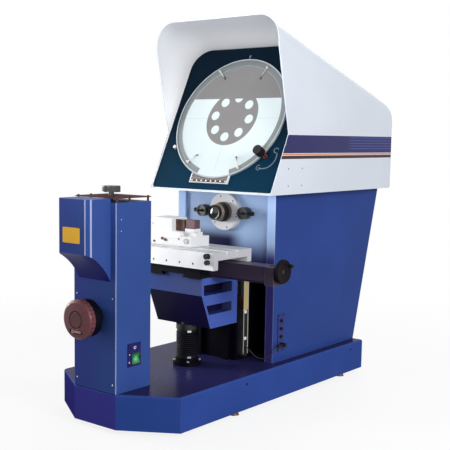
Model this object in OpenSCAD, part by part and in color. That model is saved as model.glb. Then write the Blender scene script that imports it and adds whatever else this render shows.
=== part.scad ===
// Optical comparator with a horizontal light path: a lamp tower shines along the optical axis over a
// work stage, and a lens in the column throws the shadow by way of a mirror onto a tilted round screen.
// Millimetres. Origin on the floor below the middle of the base's front edge, +X to the operator's
// right, +Y back along the optical axis, +Z up.

/* [Base] */
// Length of the base, front to back
base_len = 1017; // [980:1:1100]
// Width of the base behind its tapered nose
base_w = 440; // [410:1:480]
// Height of the base casting
base_h = 94; // [88:1:110]
// Length of the tapered nose under the lamp tower
nose_len = 92; // [70:1:110]
// Wall of the base casting
base_wall = 10; // [6:1:14]
// Thickness of the base's top
base_top = 14; // [10:1:18]
// Chamfer along the base's top edge
base_chamfer = 4; // [2:1:6]
// Gap that the levelling feet hold below the base
foot_h = 14; // [12:1:20]
// Radius of a foot's pad
foot_pad_r = 15; // [12:1:18]
// Radius of a foot's screw
foot_screw_r = 6; // [4:0.5:8]
// Distance of the feet in from the base's sides
foot_in = 26; // [24:1:36]
// Place of the front feet, from the base's front
foot_front = 350; // [320:1:380]
// Distance of the rear feet in from the base's back
foot_back = 98; // [80:1:120]
// Radius of the lifting-bar holes in the base's sides
lift_hole_r = 5; // [4:0.5:6]

/* [Lamp tower] */
// Width of the lamp tower and of the base's nose
tower_w = 154; // [144:1:164]
// Depth of the lamp tower
tower_d = 130; // [120:1:150]
// Height of the lamp tower above the base
tower_h = 494; // [485:1:520]
// Sheet thickness of the tower, column and head
sheet = 3; // [2:0.5:4]
// Width of the tower's overhanging head
tower_head_w = 116; // [100:1:130]
// Reach of the tower's head in front of the tower
tower_head_out = 79; // [60:1:90]
// Height of the tower's head at its front
tower_head_h = 138; // [120:1:160]
// Further height of the head's coved underside where it meets the tower
tower_cove_h = 74; // [50:1:90]
// Rise of the cove above a straight slope
tower_cove_rise = 9; // [5:1:14]
// Chamfer of the head's front corners
tower_head_chamfer = 11; // [6:1:16]
// Height of the vent cover's underside above the tower
vent_gap = 10; // [6:1:14]
// Thickness of the vent cover
vent_t = 2.5; // [2:0.5:4]
// Radius of the vent cover's posts
vent_post_r = 3; // [2:0.5:4]
// Radius of the lid knob
lid_knob_r = 24; // [18:1:28]
// Height of the lid knob
lid_knob_h = 16; // [12:1:20]
// Radius of the lid knob's stem
lid_stem_r = 7; // [5:0.5:9]
// Gap between the vent cover and the lid knob
lid_knob_gap = 10; // [6:1:14]

/* [Lift drive] */
// Height of the lift handwheel's axis above the base
wheel_h = 195; // [160:1:200]
// Radius of the lift handwheel
wheel_r = 52; // [46:1:56]
// Thickness of the lift handwheel
wheel_t = 24; // [22:1:30]
// Length of the black collar behind the handwheel
collar_l = 44; // [28:1:48]
// Radius of the handwheel's shaft
lift_shaft_r = 10; // [8:0.5:12]
// Radius of the drive pulleys
pulley_r = 20; // [17:1:22]
// Width of the drive belt
belt_w = 14; // [10:1:18]
// Thickness of the drive belt
belt_t = 2; // [1.5:0.5:3]
// Height of the drive shaft above the base's underside
drive_h = 44; // [42:1:48]
// Radius of the drive shaft
drive_r = 8; // [6:0.5:9]
// Pitch radius of the bevel gears
bevel_r = 22; // [20:1:24]
// Teeth of each bevel gear
bevel_teeth = 16; // [12:4:20]
// Radius of the lift screw
screw_r = 12; // [10:0.5:13]

/* [Column] */
// Width of the column
column_w = 371; // [360:1:390]
// Place of the column's front, from the base's front
column_y = 544; // [530:1:560]
// Height of the column above the base
column_h = 501; // [495:1:520]
// Depth of the column at its foot
column_d = 470; // [450:1:473]
// Lean of the column's back, from foot to top
column_lean = 135; // [110:1:150]
// Width of the column's front border strips
border_w = 28; // [22:1:34]
// Depth of the recessed front frame behind the border strips
recess = 10; // [6:1:14]
// Thickness of the front frame
frame_t = 26; // [20:1:32]
// Height of the stage niche in the front frame
niche_h = 287; // [270:1:300]
// Width of the stage niche
niche_w = 300; // [280:1:310]
// Half width of the vertical guide block
guide_w = 168; // [150:2:176]
// Height of the vertical guide block
guide_h = 322; // [312:1:330]
// Thickness of the mirror
mirror_t = 6; // [4:1:8]
// Width and height of the mirror
mirror_w = 200; // [160:1:220]

/* [Lens] */
// Height of the optical axis above the base
axis_h = 439; // [430:1:450]
// Radius of the lens flange
flange_r = 57; // [52:1:60]
// Thickness of the lens flange
flange_t = 16; // [10:1:20]
// Radius of the lens barrel at the flange
barrel_r = 30; // [26:1:34]
// Length of the lens barrel in front of the flange
barrel_l = 50; // [40:1:60]
// Radius of the lens glass
lens_r = 17; // [13:0.5:18]
// Sideways distance of the illuminators from the optical axis
lamp_side = 78; // [76:1:84]
// Radius of an illuminator
lamp_r = 18; // [14:1:19]
// Length of an illuminator
lamp_l = 30; // [22:1:34]
// Radius of the collimator tube in the lamp tower
collimator_r = 34; // [28:1:38]

/* [Head] */
// Width of the head
head_w = 456; // [450:1:480]
// Height of the hood's front edge above the column
head_h = 505; // [490:1:520]
// Thickness of the head's floor
head_floor = 6; // [4:0.5:8]
// Fall of the head's top towards the back, in degrees
head_slope = 17.6; // [15:0.1:20]
// Bend radius of the hood's long top edges
hood_r = 68; // [50:1:80]
// Place of the hood's front edge, from the base's front
hood_y = 481; // [470:1:490]
// Length of the hood's upright front edge
hood_lip = 85; // [70:1:100]
// Distance of the hood's lower corner below the screen's centre, along the panel
hood_corner = 51; // [40:1:60]
// Overhang of the head behind the column
head_back = 4; // [2:0.5:10]
// Radius of the head's rear top corner
head_back_r = 70; // [50:1:90]

/* [Screen] */
// Lean of the screen from upright, in degrees
screen_tilt = 25.8; // [24:0.1:27]
// Place of the screen's centre, from the base's front
screen_y = 562; // [555:1:570]
// Height of the screen's centre above the column
screen_h = 219; // [215:1:225]
// Outer radius of the screen ring
ring_r = 198; // [190:0.5:199]
// Radius of the clear screen
screen_r = 176.5; // [170:0.5:178]
// Thickness of the ground glass
glass_t = 5; // [4:0.5:6]
// Thickness of the screen panel
panel_t = 4; // [3:0.5:6]
// Depth of the panel's face behind the ring's band
panel_set = 4; // [2:0.5:6]
// Radius of the screen knob
knob_r = 14; // [11:0.5:16]
// Length of the screen knob
knob_l = 24; // [18:1:30]
// Height of the screen knob's face above the ring's band
knob_out = 44; // [40:1:52]
// Length of a chart clip's arm
clip_l = 44; // [34:1:50]

/* [Stage] */
// Distance of the stage's middle and of the lift screw from the base's front
stage_y = 374; // [371:1:377]
// Distance of the table's top below the optical axis
table_drop = 89; // [86:1:95]
// Width of the table
table_w = 340; // [320:1:350]
// Depth of the table
table_d = 172; // [164:1:180]
// Distance of the table's front from the stage's middle
table_front = 95.5; // [92:0.5:100]
// Thickness of the table's plate
table_t = 22; // [20:0.5:26]
// Height of the table's front apron
apron_h = 48; // [44:1:52]
// Thickness of the table's aprons
apron_t = 20; // [16:1:22]
// Height by which the rear apron is shorter than the front one
apron_step = 11; // [6:1:14]
// Width of a T-slot's neck
slot_w = 10; // [8:0.5:12]
// Distance between the T-slots
slot_pitch = 47; // [42:1:52]
// Thickness of the saddle
saddle_t = 28; // [25:0.5:32]
// Height of the saddle's upper rails
rail_h = 31; // [27:0.5:33]
// Width of the knee and the saddle
knee_w = 200; // [190:1:208]
// Depth of the saddle
saddle_d = 152; // [140:1:156]
// Height of the knee
knee_h = 147; // [140:1:150]
// Height of the knee's upright front face
knee_face = 49; // [40:1:56]
// Distance of the knee's front face in front of the lift screw
knee_front = 58; // [52:1:62]
// Distance of the knee's back behind the lift screw
knee_back = 106; // [102:1:108]
// Length of the knee's flat bottom in front of the lift screw
knee_toe = 18; // [12:1:24]
// Depth of the pockets in the knee's sides
pocket = 34; // [26:1:40]
// Radius of the bellows
bellows_r = 33; // [31:1:36]
// Height of the bellows' bottom flange
bellows_base = 22; // [16:1:26]
// Folds of the bellows
bellows_folds = 12; // [8:1:16]
// Radius of the cross-travel handwheel
x_wheel_r = 33; // [28:1:36]
// Thickness of the cross-travel handwheel
x_wheel_t = 13; // [10:1:16]
// Reach of the cross-travel arm from the stage's middle
arm_reach = 292; // [288:1:300]
// Depth of the cross-travel arm
arm_d = 52; // [46:1:56]
// Height of the cross-travel arm
arm_h = 48; // [44:1:50]
// Radius of the cross-travel screw
x_screw_r = 6; // [5:0.5:7]

/* [Vise] */
// Length of the vise
vise_l = 150; // [140:1:158]
// Depth of the vise
vise_d = 82; // [74:1:90]
// Height of the vise's base
vise_h = 29; // [26:1:34]
// Height of the jaws' lower edge above the table
jaw_z = 50; // [48:1:54]
// Height of a jaw
jaw_h = 25; // [20:1:28]
// Opening between the jaws
jaw_open = 6; // [4:0.5:10]

/* [Clearances] */
// Radial clearance of shafts and pins in their bores
run = 0.05; // [0.02:0.01:0.1]
// Gap between sliding flat faces
slide = 0.3; // [0.2:0.05:0.5]
// Gap between pieces of the same assembly that sit in a pocket
fit = 0.3; // [0.2:0.05:0.5]

/* [Hidden] */
$fn = 64;
// Overrun of a cut past the face that it opens
eps = 1;
// Levels from the floor up
base_z0 = foot_h;
base_z1 = base_z0 + base_h;
tower_z1 = base_z1 + tower_h;
column_z1 = base_z1 + column_h;
axis_z = base_z1 + axis_h;
wheel_z = base_z1 + wheel_h;
drive_z = base_z0 + drive_h;
// Ribs under the base's top, and the bosses that hold the feet
rib_y = [tower_d + 40, column_y - 24, column_y + 216];
foot_boss_r = foot_screw_r + 12.5;
// Levels of the stage from the optical axis down
table_z1 = axis_z - table_drop;
table_ceil = table_z1 - table_t;
saddle_z1 = table_ceil - slide - rail_h;
saddle_z0 = saddle_z1 - saddle_t;
knee_z1 = saddle_z0 - slide;
knee_z0 = knee_z1 - knee_h;
nut_flange_t = 15;
nut_z0 = knee_z0 - nut_flange_t;
bellows_z0 = base_z1 + bellows_base;
screw_top = knee_z1 - 27;
// Places along the optical axis
frame_y = column_y + recess;
table_y0 = stage_y - table_front;
table_y1 = table_y0 + table_d;
knee_y0 = stage_y - knee_front;
knee_y1 = stage_y + knee_back;
saddle_y0 = stage_y - saddle_d / 2 + 8;
guide_gap = 2;
// Guide ways of the knee
way_neck = 12;
way_head = 22;
way_h = 14;
way_x = 52;
guide_y = knee_y1 + way_h + guide_gap + 4;
// Column's back wall
column_angle = atan2(column_lean, column_h);
column_y1 = column_y + column_d;
// Screen and head
screen_z = column_z1 + screen_h;
head_y1 = column_y1 + column_lean + head_back;
head_z1 = column_z1 + head_h;
panel_z1 = -panel_set;
panel_z0 = panel_z1 - panel_t;
panel_x = head_w / 2 - sheet - fit;
panel_y0 = -(screen_h - head_floor - fit + panel_z0 * sin(screen_tilt)) / cos(screen_tilt);
panel_y1 = (head_z1 - screen_z - (screen_y - hood_y) * tan(head_slope) - sheet / cos(head_slope)
    + panel_z0 * (sin(screen_tilt) + cos(screen_tilt) * tan(head_slope)))
    / (cos(screen_tilt) + sin(screen_tilt) * tan(head_slope)) - fit;
floor_r = 8;
rim_w = 4;
rim_h = 3;
ring_lap = 3;
flange_back = ring_r + ring_lap;
roller_r = 6;
knob_place = flange_back + roller_r + fit;
knob_turn = -36;
clamp_turn = 209;
clip_place = [120.5, 63, 234, 298];
clip_aim = [-43, -113, 39, 116];
clip_r = (screen_r + ring_r - rim_w) / 2;
// Cross travel
x_axis_z = table_ceil - 21;
x_lug_x = -26;
lug_l = 24;
lug_d = 30;
channel_d = 40;
rail_d = 24;
arm_z1 = table_ceil - 9;
arm_z0 = arm_z1 - arm_h;
// Knobs on the table's front: their shafts, and their heights
lever_r = 3;
lever_x = table_w / 2 - 19;
release_z = table_z1 - 9.5;
clamp_z = table_z1 - 26.5;
bearing_l = 28;
x_wheel_x = arm_reach + bearing_l + 4;
// Vise
vise_x0 = -110;
vise_y0 = stage_y - vise_d / 2 + 4;
vise_block_l = 52;
jaw_l = 32;
jaw_d = 24;
jaw_x = vise_x0 + 104;
jaw_wall = 6;
jaw_ledge = 9;
vise_screw_r = 5;
vise_screw_x = jaw_x + jaw_open + jaw_l - jaw_wall - 6.5;
// Focusing rack and pinion
pinion_module = 1.25;
pinion_teeth = 16;
pinion_r = pinion_module * pinion_teeth / 2;
tail_h = 10;
tail_w = 84;
tail_flare = 6;
pinion_y = stage_y + 62;
pinion_z = saddle_z0 + pinion_module - pinion_r;
pinion_x = -62;
pinion_l = 14;
// Bevel gears
bevel_face = 9;
gearbox_w = 76;
gearbox_wall = 6;
// Signal sockets on the column's right side
socket_y = column_y + 40;
socket_z = base_z1 + 87;
socket_r = 3.5;
// Vertical scale on the guide block's right side
scale_w = 20;
scale_l = 220;
scale_lift = 21;
scale_y = guide_y + 18;
// Power rocker
rocker_y = 72;
rocker_z = base_z1 + 84;
rocker_w = 28;
rocker_h = 27;
plate_t = 3;
// Folding crank of the lift handwheel
crank_r = 5;
crank_l = 32;
crank_drop = 31;
crank_pin_r = 2;
wheel_y0 = -collar_l - wheel_t;
crank_y = wheel_y0 + crank_r + 1;
crank_z = wheel_z - crank_drop;
crank_x = -crank_l / 2 + 2;
// Signal lead from the vertical scale to its plug: points of the route
lead_r = 1.6;
lead_path = [
    [106, 518, 150], [113, 518, 148], [121, 518, 143], [129, 518, 136], [138, 519, 129], [148, 520, 124],
    [158, 522, 122], [167, 524, 123], [175, 526, 126], [182, 528, 131], [188, 530, 137], [193, 532, 143],
    [196, 535, 149], [198, 539, 154], [198, 545, 158], [198, 552, 159],
];

// Helpers

// Extrudes a (Y, Z) outline along X, centred
module along_x(l) {
    rotate([90, 0, 90]) linear_extrude(l, center = true) children();
}

// Cylinder along X from x0 to x1
module rod_x(r, x0, x1, y, z) {
    translate([x0, y, z]) rotate([0, 90, 0]) cylinder(r = r, h = x1 - x0);
}

// Cylinder along Y from y0 to y1
module rod_y(r, y0, y1, x, z) {
    translate([x, y0, z]) rotate([-90, 0, 0]) cylinder(r = r, h = y1 - y0);
}

// Cylinder along Z from z0 to z1
module rod_z(r, z0, z1, x, y) {
    translate([x, y, z0]) cylinder(r = r, h = z1 - z0);
}

// Box between two corners
module block(a, b) {
    translate(a) cube(b - a);
}

// Frame of the screen: x to the right, y up the panel, z out of the panel
module on_screen() {
    translate([0, screen_y, screen_z]) rotate([90 - screen_tilt, 0, 0]) children();
}

// Frame on the column's inner back wall: y up the wall, z forwards
module on_back_wall() {
    mid = (axis_z - base_z1) / column_h;
    translate([0, column_y1 + column_lean * mid - sheet / cos(column_angle), axis_z])
        rotate([90 - column_angle, 0, 0]) children();
}

// Unit vector from one point towards another
function towards(a, b) = (b - a) / norm(b - a);

// Rectangle with two corner radii, one above and one below
module panel_outline(x, y0, y1, r_top, r_low) {
    translate([-x, y0 + r_low]) square([2 * x, y1 - y0 - r_low - r_top]);
    translate([-x + r_top, y0 + r_low]) square([2 * (x - r_top), y1 - y0 - r_low]);
    translate([-x + r_low, y0]) square([2 * (x - r_low), y1 - y0 - r_top]);
    for (s = [-1, 1]) {
        translate([s * (x - r_top), y1 - r_top]) circle(r_top);
        translate([s * (x - r_low), y0 + r_low]) circle(r_low);
    }
}

// Outline of a gear with straight-flanked teeth
function gear_outline(n, r, add, ded) = [
    for (i = [0:n - 1], k = [[-0.29, -ded], [-0.13, add], [0.13, add], [0.29, -ded]])
        let (a = 360 / n * (i + k[0])) (r + k[1]) * [cos(a), sin(a)],
];

// Straight bevel gear, large end at z = 0 and its cone running to an apex at z = r
module bevel_gear(turn) {
    shrink = (bevel_r - bevel_face) / bevel_r;
    rotate(turn) linear_extrude(bevel_face, scale = shrink)
        polygon(gear_outline(bevel_teeth, bevel_r, 2, 2.8));
}

// Knurled round knob along z: a ribbed rim between two plain edges
module knurled(r, h) {
    ribs = floor(2 * PI * r / 4.2);
    difference() {
        cylinder(r = r, h = h);
        for (i = [0:ribs - 1]) {
            rotate(360 / ribs * i) translate([r + 0.6, 0, h * 0.15]) cylinder(r = 1.6, h = h * 0.7);
        }
    }
}

// Base

// Corners of the base's plan, moved in by a wall, anticlockwise
function base_corners(in) =
    let (nose = tower_w / 2 - in, side = base_w / 2 - in, y0 = nose_len + in / 2)
    [[-nose, in], [nose, in], [side, y0], [side, base_len - in], [-side, base_len - in], [-side, y0]];

// Wedge that chamfers the base's top along one edge of its plan
module edge_wedge(a, b) {
    c = base_chamfer;
    d = b - a;
    over = 40;
    translate([a[0], a[1], base_z1]) rotate(atan2(d[1], d[0])) rotate([90, 0, 90])
        translate([0, 0, -over]) linear_extrude(norm(d) + 2 * over)
            polygon([[-eps, -c - eps], [c + eps, eps], [-eps, eps]]);
}

module foot_places() {
    for (s = [-1, 1], y = [foot_front, base_len - foot_back]) {
        translate([s * (base_w / 2 - foot_in), y, 0]) children();
    }
}

module base() {
    corners = base_corners(0);
    n = len(corners);
    color("royalblue") difference() {
        union() {
            difference() {
                translate([0, 0, base_z0]) linear_extrude(base_h) polygon(corners);
                for (i = [0:n - 1]) {
                    edge_wedge(corners[i], corners[(i + 1) % n]);
                }
                translate([0, 0, base_z0 - eps])
                    linear_extrude(base_h - base_top + eps) polygon(base_corners(base_wall));
            }
            foot_places() rod_z(foot_boss_r, base_z0, base_z1 - base_top + eps, 0, 0);
            for (y = rib_y) {
                block([-base_w / 2 + base_wall / 2, y, base_z0 + 10],
                    [base_w / 2 - base_wall / 2, y + base_wall, base_z1 - base_top + eps]);
            }
        }
        foot_places() rod_z(foot_screw_r + run, base_z0 - eps, base_z1 - base_top - 10, 0, 0);
        rod_z(bevel_r, base_z1 - base_top - eps, base_z1 + eps, 0, stage_y);
        rod_y(drive_r + run, rib_y[0] - eps, rib_y[0] + base_wall + eps, 0, drive_z);
        block([-pulley_r - belt_t - 4, tower_d / 2 - belt_w / 2 - 4, base_z1 - base_top - eps],
            [pulley_r + belt_t + 4, tower_d / 2 + belt_w / 2 + 4, base_z1 + eps]);
        for (y = [foot_front, base_len - foot_back]) {
            for (s = [-1, 1]) {
                rod_x(lift_hole_r, s * (base_w / 2 - base_wall / 2) - base_wall / 2 - eps,
                    s * (base_w / 2 - base_wall / 2) + base_wall / 2 + eps, y + 24, base_z1 - 22);
            }
        }
    }
}

module levelling_feet() {
    color("silver") foot_places() {
        cylinder(r1 = foot_pad_r, r2 = foot_pad_r - 3, h = foot_h * 0.4);
        rod_z(foot_screw_r, foot_h * 0.3, base_z1 - base_top - 14, 0, 0);
        translate([0, 0, foot_h * 0.55]) cylinder(r = foot_screw_r * 1.8, h = foot_h * 0.45, $fn = 6);
    }
}

// Lamp tower

module tower_housing() {
    x = tower_w / 2;
    slot_n = 6;
    color("royalblue") difference() {
        block([-x, 0, base_z1], [x, tower_d, tower_z1]);
        block([-x + sheet, sheet, base_z1 - eps], [x - sheet, tower_d - sheet, tower_z1 - sheet]);
        block([-tower_head_w / 2 + 10, -eps, tower_z1 - tower_head_h + 20],
            [tower_head_w / 2 - 10, sheet + eps, tower_z1 - 30]);
        rod_y(lift_shaft_r + 4, -eps, sheet + eps, 0, wheel_z);
        rod_y(collimator_r + fit, tower_d - sheet - eps, tower_d + eps, 0, axis_z);
        block([x - sheet - eps, rocker_y - rocker_w / 2 - 3, rocker_z - rocker_h / 2 - 3],
            [x + eps, rocker_y + rocker_w / 2 + 3, rocker_z + rocker_h / 2 + 3]);
        rod_z(lid_stem_r + run, tower_z1 - sheet - eps, tower_z1 + eps, 0, tower_d * 0.46);
        for (i = [0:slot_n - 1], s = [-1, 1]) {
            y = tower_d * (0.14 + 0.72 * i / (slot_n - 1));
            block([s * x / 2 - x / 4, y - 3, tower_z1 - sheet - eps],
                [s * x / 2 + x / 4, y + 3, tower_z1 + eps]);
        }
    }
}

// Side outline of the tower's head, shrunk by an inset
module tower_head_side(in) {
    z1 = tower_z1 + vent_gap;
    z0 = z1 - tower_head_h;
    front = [-tower_head_out, z0];
    back = [0, z0 - tower_cove_h];
    chord = norm(back - front);
    cove_r = chord * chord / 8 / tower_cove_rise + tower_cove_rise / 2;
    out = [-tower_cove_h, -tower_head_out] / chord;
    difference() {
        polygon([[-tower_head_out + in, z0 - tower_cove_h], [0, z0 - tower_cove_h], [0, z1 - in],
            [-tower_head_out + in, z1 - in]]);
        translate((front + back) / 2 + out * (cove_r - tower_cove_rise)) circle(cove_r + in, $fn = 128);
    }
}

module tower_head_plan(in) {
    x = tower_head_w / 2 - in;
    y = tower_head_out - in;
    c = tower_head_chamfer;
    polygon([[-x, 0], [-x, -y + c], [-x + c, -y], [x - c, -y], [x, -y + c], [x, 0]]);
}

module tower_head() {
    color("midnightblue") difference() {
        intersection() {
            along_x(tower_head_w) tower_head_side(0);
            translate([0, 0, base_z1]) linear_extrude(2 * tower_h) tower_head_plan(0);
        }
        intersection() {
            along_x(tower_head_w - 2 * sheet) tower_head_side(sheet);
            translate([0, 0, base_z1]) linear_extrude(2 * tower_h) translate([0, eps]) tower_head_plan(sheet);
        }
    }
}

module vent_cover() {
    x = tower_w / 2;
    z = tower_z1 + vent_gap;
    color("rosybrown") {
        difference() {
            block([-x, 4, z], [x, tower_d, z + vent_t]);
            rod_z(lid_stem_r + run, z - eps, z + vent_t + eps, 0, tower_d * 0.46);
        }
        for (s = [-1, 1], y = [10, tower_d * 0.42, tower_d - 6]) {
            rod_z(vent_post_r, tower_z1, z, s * (x - 6), y);
        }
    }
}

module lid_knob() {
    z = tower_z1 + vent_gap + vent_t + lid_knob_gap;
    color("dimgray") translate([0, tower_d * 0.46, 0]) {
        rod_z(lid_stem_r, tower_z1 - sheet - 6, z, 0, 0);
        translate([0, 0, z]) knurled(lid_knob_r, lid_knob_h);
    }
}

module switch_plate() {
    x = tower_w / 2;
    y = rocker_w / 2;
    z = rocker_h / 2;
    depth = 12;
    color("midnightblue") translate([0, rocker_y, rocker_z]) difference() {
        union() {
            block([x, -y - 15, -z - 6], [x + plate_t, y + 4, z + 28]);
            block([x - depth, -y - 3 + fit, -z - 3 + fit], [x, y + 3 - fit, z + 3 - fit]);
        }
        block([x - depth - eps, -y - 0.8, -z - 0.8], [x + plate_t + eps, y + 0.8, z + 0.8]);
        rod_y(1.5 + run, -y - 2.5, y + 2.5, x - 3, 0);
        rod_x(3, x + plate_t - 1.5, x + plate_t + eps, -y - 7, z + 16);
    }
}

module power_rocker() {
    x = tower_w / 2;
    y = rocker_w / 2;
    z = rocker_h / 2;
    color("seagreen") translate([0, rocker_y, rocker_z]) {
        rotate([90, 0, 0]) linear_extrude(rocker_w, center = true)
            polygon([[x - 9, -z * 0.6], [x + 4, -z], [x + 1.5, 0], [x + 4, z], [x - 9, z * 0.6]]);
        rod_y(1.5, -y - 2, y + 2, x - 3, 0);
    }
}

module lamp_unit() {
    lamp_y = 36;
    color("whitesmoke") {
        block([-22, lamp_y - 18, axis_z - 62], [22, lamp_y + 18, axis_z - 30]);
        block([-22, sheet, axis_z - 74], [22, lamp_y + 18, axis_z - 62]);
        rod_z(9, axis_z - 30, axis_z - 16, 0, lamp_y);
    }
    color("lightyellow") translate([0, lamp_y, axis_z - 16]) rotate_extrude() {
        difference() {
            union() {
                square([8, 20]);
                translate([0, 20]) circle(8);
            }
            translate([-20, -1]) square([20, 60]);
        }
    }
}

module collimator() {
    y0 = tower_d - 46;
    color("black") difference() {
        union() {
            rod_y(collimator_r, y0, tower_d + 14, 0, axis_z);
            rod_y(collimator_r + 8, tower_d, tower_d + 6, 0, axis_z);
        }
        rod_y(collimator_r - 5, y0 - eps, tower_d + 14 + eps, 0, axis_z);
    }
    color("lightcyan") rod_y(collimator_r - 5 - run, tower_d + 2, tower_d + 8, 0, axis_z);
}

// Lift drive

module wheel_collar() {
    color("black") difference() {
        union() {
            rod_y(wheel_r - 3, -collar_l + fit, -collar_l * 0.45, 0, wheel_z);
            rod_y(wheel_r * 0.6, -collar_l * 0.45 - eps, 0, 0, wheel_z);
        }
        rod_y(lift_shaft_r + run, -collar_l - eps, eps, 0, wheel_z);
    }
}

module lift_wheel() {
    scallops = 24;
    rim_in = wheel_r * 0.42;
    color("rosybrown") difference() {
        translate([0, wheel_y0, wheel_z]) rotate([-90, 0, 0]) rotate_extrude($fn = 96)
            polygon([
                [0, 0], [rim_in - 2, 0], [rim_in, 2], [rim_in + 2, 0], [wheel_r - 8, 2.5],
                [wheel_r - 3, 5], [wheel_r, 10], [wheel_r, wheel_t - 2], [wheel_r - 3, wheel_t], [0, wheel_t],
            ]);
        for (i = [0:scallops - 1]) {
            a = 360 / scallops * (i + 0.5);
            rod_y(4.5, wheel_y0 - eps, eps, (wheel_r + 3) * cos(a), wheel_z + (wheel_r + 3) * sin(a));
        }
        rod_y(lift_shaft_r + run, -collar_l - wheel_t + 8, eps, 0, wheel_z);
        block([crank_x - crank_r - 0.6, wheel_y0 - eps, crank_z - crank_r - 0.6],
            [crank_x + crank_l + 1, crank_y + crank_r + 0.6, crank_z + crank_r + 0.6]);
        rod_z(crank_pin_r + run, crank_z - crank_r - 5, crank_z + crank_r + 5, crank_x, crank_y);
    }
}

module lift_crank() {
    color("rosybrown") {
        rod_z(crank_r, crank_z - crank_r, crank_z + crank_r, crank_x, crank_y);
        rod_x(crank_r * 0.7, crank_x, crank_x + crank_l - crank_r, crank_y, crank_z);
        rod_x(crank_r, crank_x + crank_r + 2, crank_x + crank_l, crank_y, crank_z);
        rod_z(crank_pin_r, crank_z - crank_r - 4, crank_z + crank_r + 4, crank_x, crank_y);
    }
}

module pulley(z) {
    y = tower_d / 2;
    rod_y(pulley_r, y - belt_w / 2, y + belt_w / 2, 0, z);
    for (s = [-1, 1]) {
        rod_y(pulley_r + belt_t, y + s * (belt_w / 2 + 1.5) - 1, y + s * (belt_w / 2 + 1.5) + 1, 0, z);
        rod_y(pulley_r * 0.6, y - belt_w / 2 - 2, y + belt_w / 2 + 2, 0, z);
    }
}

module lift_shaft() {
    color("silver") {
        rod_y(lift_shaft_r, -collar_l - wheel_t + 10, tower_d / 2 + belt_w / 2 + 8, 0, wheel_z);
        pulley(wheel_z);
    }
}

module drive_belt() {
    color("black") translate([0, tower_d / 2 + belt_w / 2 - 1, 0]) rotate([90, 0, 0])
        linear_extrude(belt_w - 2) difference() {
            belt_loop(pulley_r + fit + belt_t);
            belt_loop(pulley_r + fit);
        }
}

// Race-track outline round both pulleys
module belt_loop(r) {
    translate([-r, drive_z]) square([2 * r, wheel_z - drive_z]);
    for (z = [drive_z, wheel_z]) {
        translate([0, z]) circle(r);
    }
}

module drive_shaft() {
    color("silver") {
        rod_y(drive_r, tower_d / 2 - belt_w / 2 - 8, stage_y - bevel_r, 0, drive_z);
        pulley(drive_z);
        translate([0, stage_y - bevel_r, drive_z]) rotate([-90, 0, 0]) bevel_gear(0);
    }
}

module lead_screw() {
    color("silver") {
        translate([0, stage_y, drive_z + bevel_r]) rotate([180, 0, 0]) bevel_gear(180 / bevel_teeth);
        rod_z(screw_r, drive_z + bevel_r - eps, screw_top, 0, stage_y);
    }
}

module gearbox() {
    w = gearbox_w / 2;
    z1 = base_z1 - base_top;
    z0 = drive_z - bevel_r - 10;
    t = gearbox_wall;
    color("gray") difference() {
        block([-w, stage_y - w, z0], [w, stage_y + w, z1]);
        block([-w + t, stage_y - w + t, z0 + t], [w - t, stage_y + w - t, drive_z + bevel_r + 3]);
        rod_z(screw_r + run, drive_z, z1 + eps, 0, stage_y);
        rod_y(drive_r + run, stage_y - w - eps, stage_y - w + t + eps, 0, drive_z);
    }
}

module bellows_flange() {
    r = bellows_r + 8;
    color("black") difference() {
        union() {
            rod_z(r, base_z1, base_z1 + bellows_base * 0.55, 0, stage_y);
            rod_z(bellows_r, base_z1, bellows_z0, 0, stage_y);
        }
        rod_z(screw_r + 1, base_z1 - eps, bellows_z0 + eps, 0, stage_y);
        for (a = [45:90:315]) {
            rod_z(2.5, base_z1 + 6, bellows_z0, (r - 4) * cos(a), stage_y + (r - 4) * sin(a));
        }
    }
}

module bellows() {
    n = bellows_folds;
    top = nut_z0 - slide;
    pitch = (top - bellows_z0) / n;
    wall = 1.2;
    low = bellows_r - 6;
    function side(in) = [
        for (i = [0:n - 1], k = [[0, low], [0.5, bellows_r]])
            [k[1] - in, bellows_z0 + pitch * (i + k[0])],
    ];
    outer = concat(side(0), [[low, top]]);
    inner = concat(side(wall), [[low - wall, top]]);
    back = [for (i = [len(inner) - 1:-1:0]) inner[i]];
    color("black") translate([0, stage_y, 0]) rotate_extrude() polygon(concat(outer, back));
}

// Column

module column_side(in) {
    shift = in / cos(column_angle);
    polygon([
        [column_y + in, base_z1], [column_y + in, column_z1],
        [column_y1 + column_lean - shift, column_z1], [column_y1 - shift, base_z1],
    ]);
}

module column_cover() {
    window = column_w / 2 - border_w;
    color("royalblue") difference() {
        along_x(column_w) column_side(0);
        difference() {
            along_x(column_w - 2 * sheet) column_side(sheet);
            block([-column_w, column_y, base_z1], [column_w, frame_y, column_z1]);
        }
        block([-window, column_y - eps, base_z1 - eps], [window, frame_y + eps, column_z1 + eps]);
        block([column_w / 2 - sheet - eps, column_y + 30, base_z1 + 40],
            [column_w / 2 + eps, column_y + 50, base_z1 + 134]);
    }
}

module column_frame() {
    x = column_w / 2 - sheet - fit;
    web = 120;
    color("lightsteelblue") difference() {
        union() {
            block([-x, frame_y, base_z1], [x, frame_y + frame_t, column_z1]);
            for (s = [-1, 1]) {
                block([s * (niche_w / 2 + 8) - 6, frame_y, base_z1],
                    [s * (niche_w / 2 + 8) + 6, frame_y + frame_t + web, column_z1]);
            }
        }
        block([-niche_w / 2, frame_y - eps, base_z1 - eps],
            [niche_w / 2, frame_y + frame_t + eps, base_z1 + niche_h]);
        rod_y(barrel_r + 6, frame_y - eps, frame_y + frame_t + eps, 0, axis_z);
    }
}

// Dovetail way of the vertical guide, widened by a clearance
module way_outline(gap) {
    n = way_neck / 2 + gap;
    h = way_head / 2 + gap;
    polygon([[-n, 0], [n, 0], [h, -way_h - gap], [-h, -way_h - gap]]);
}

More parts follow.
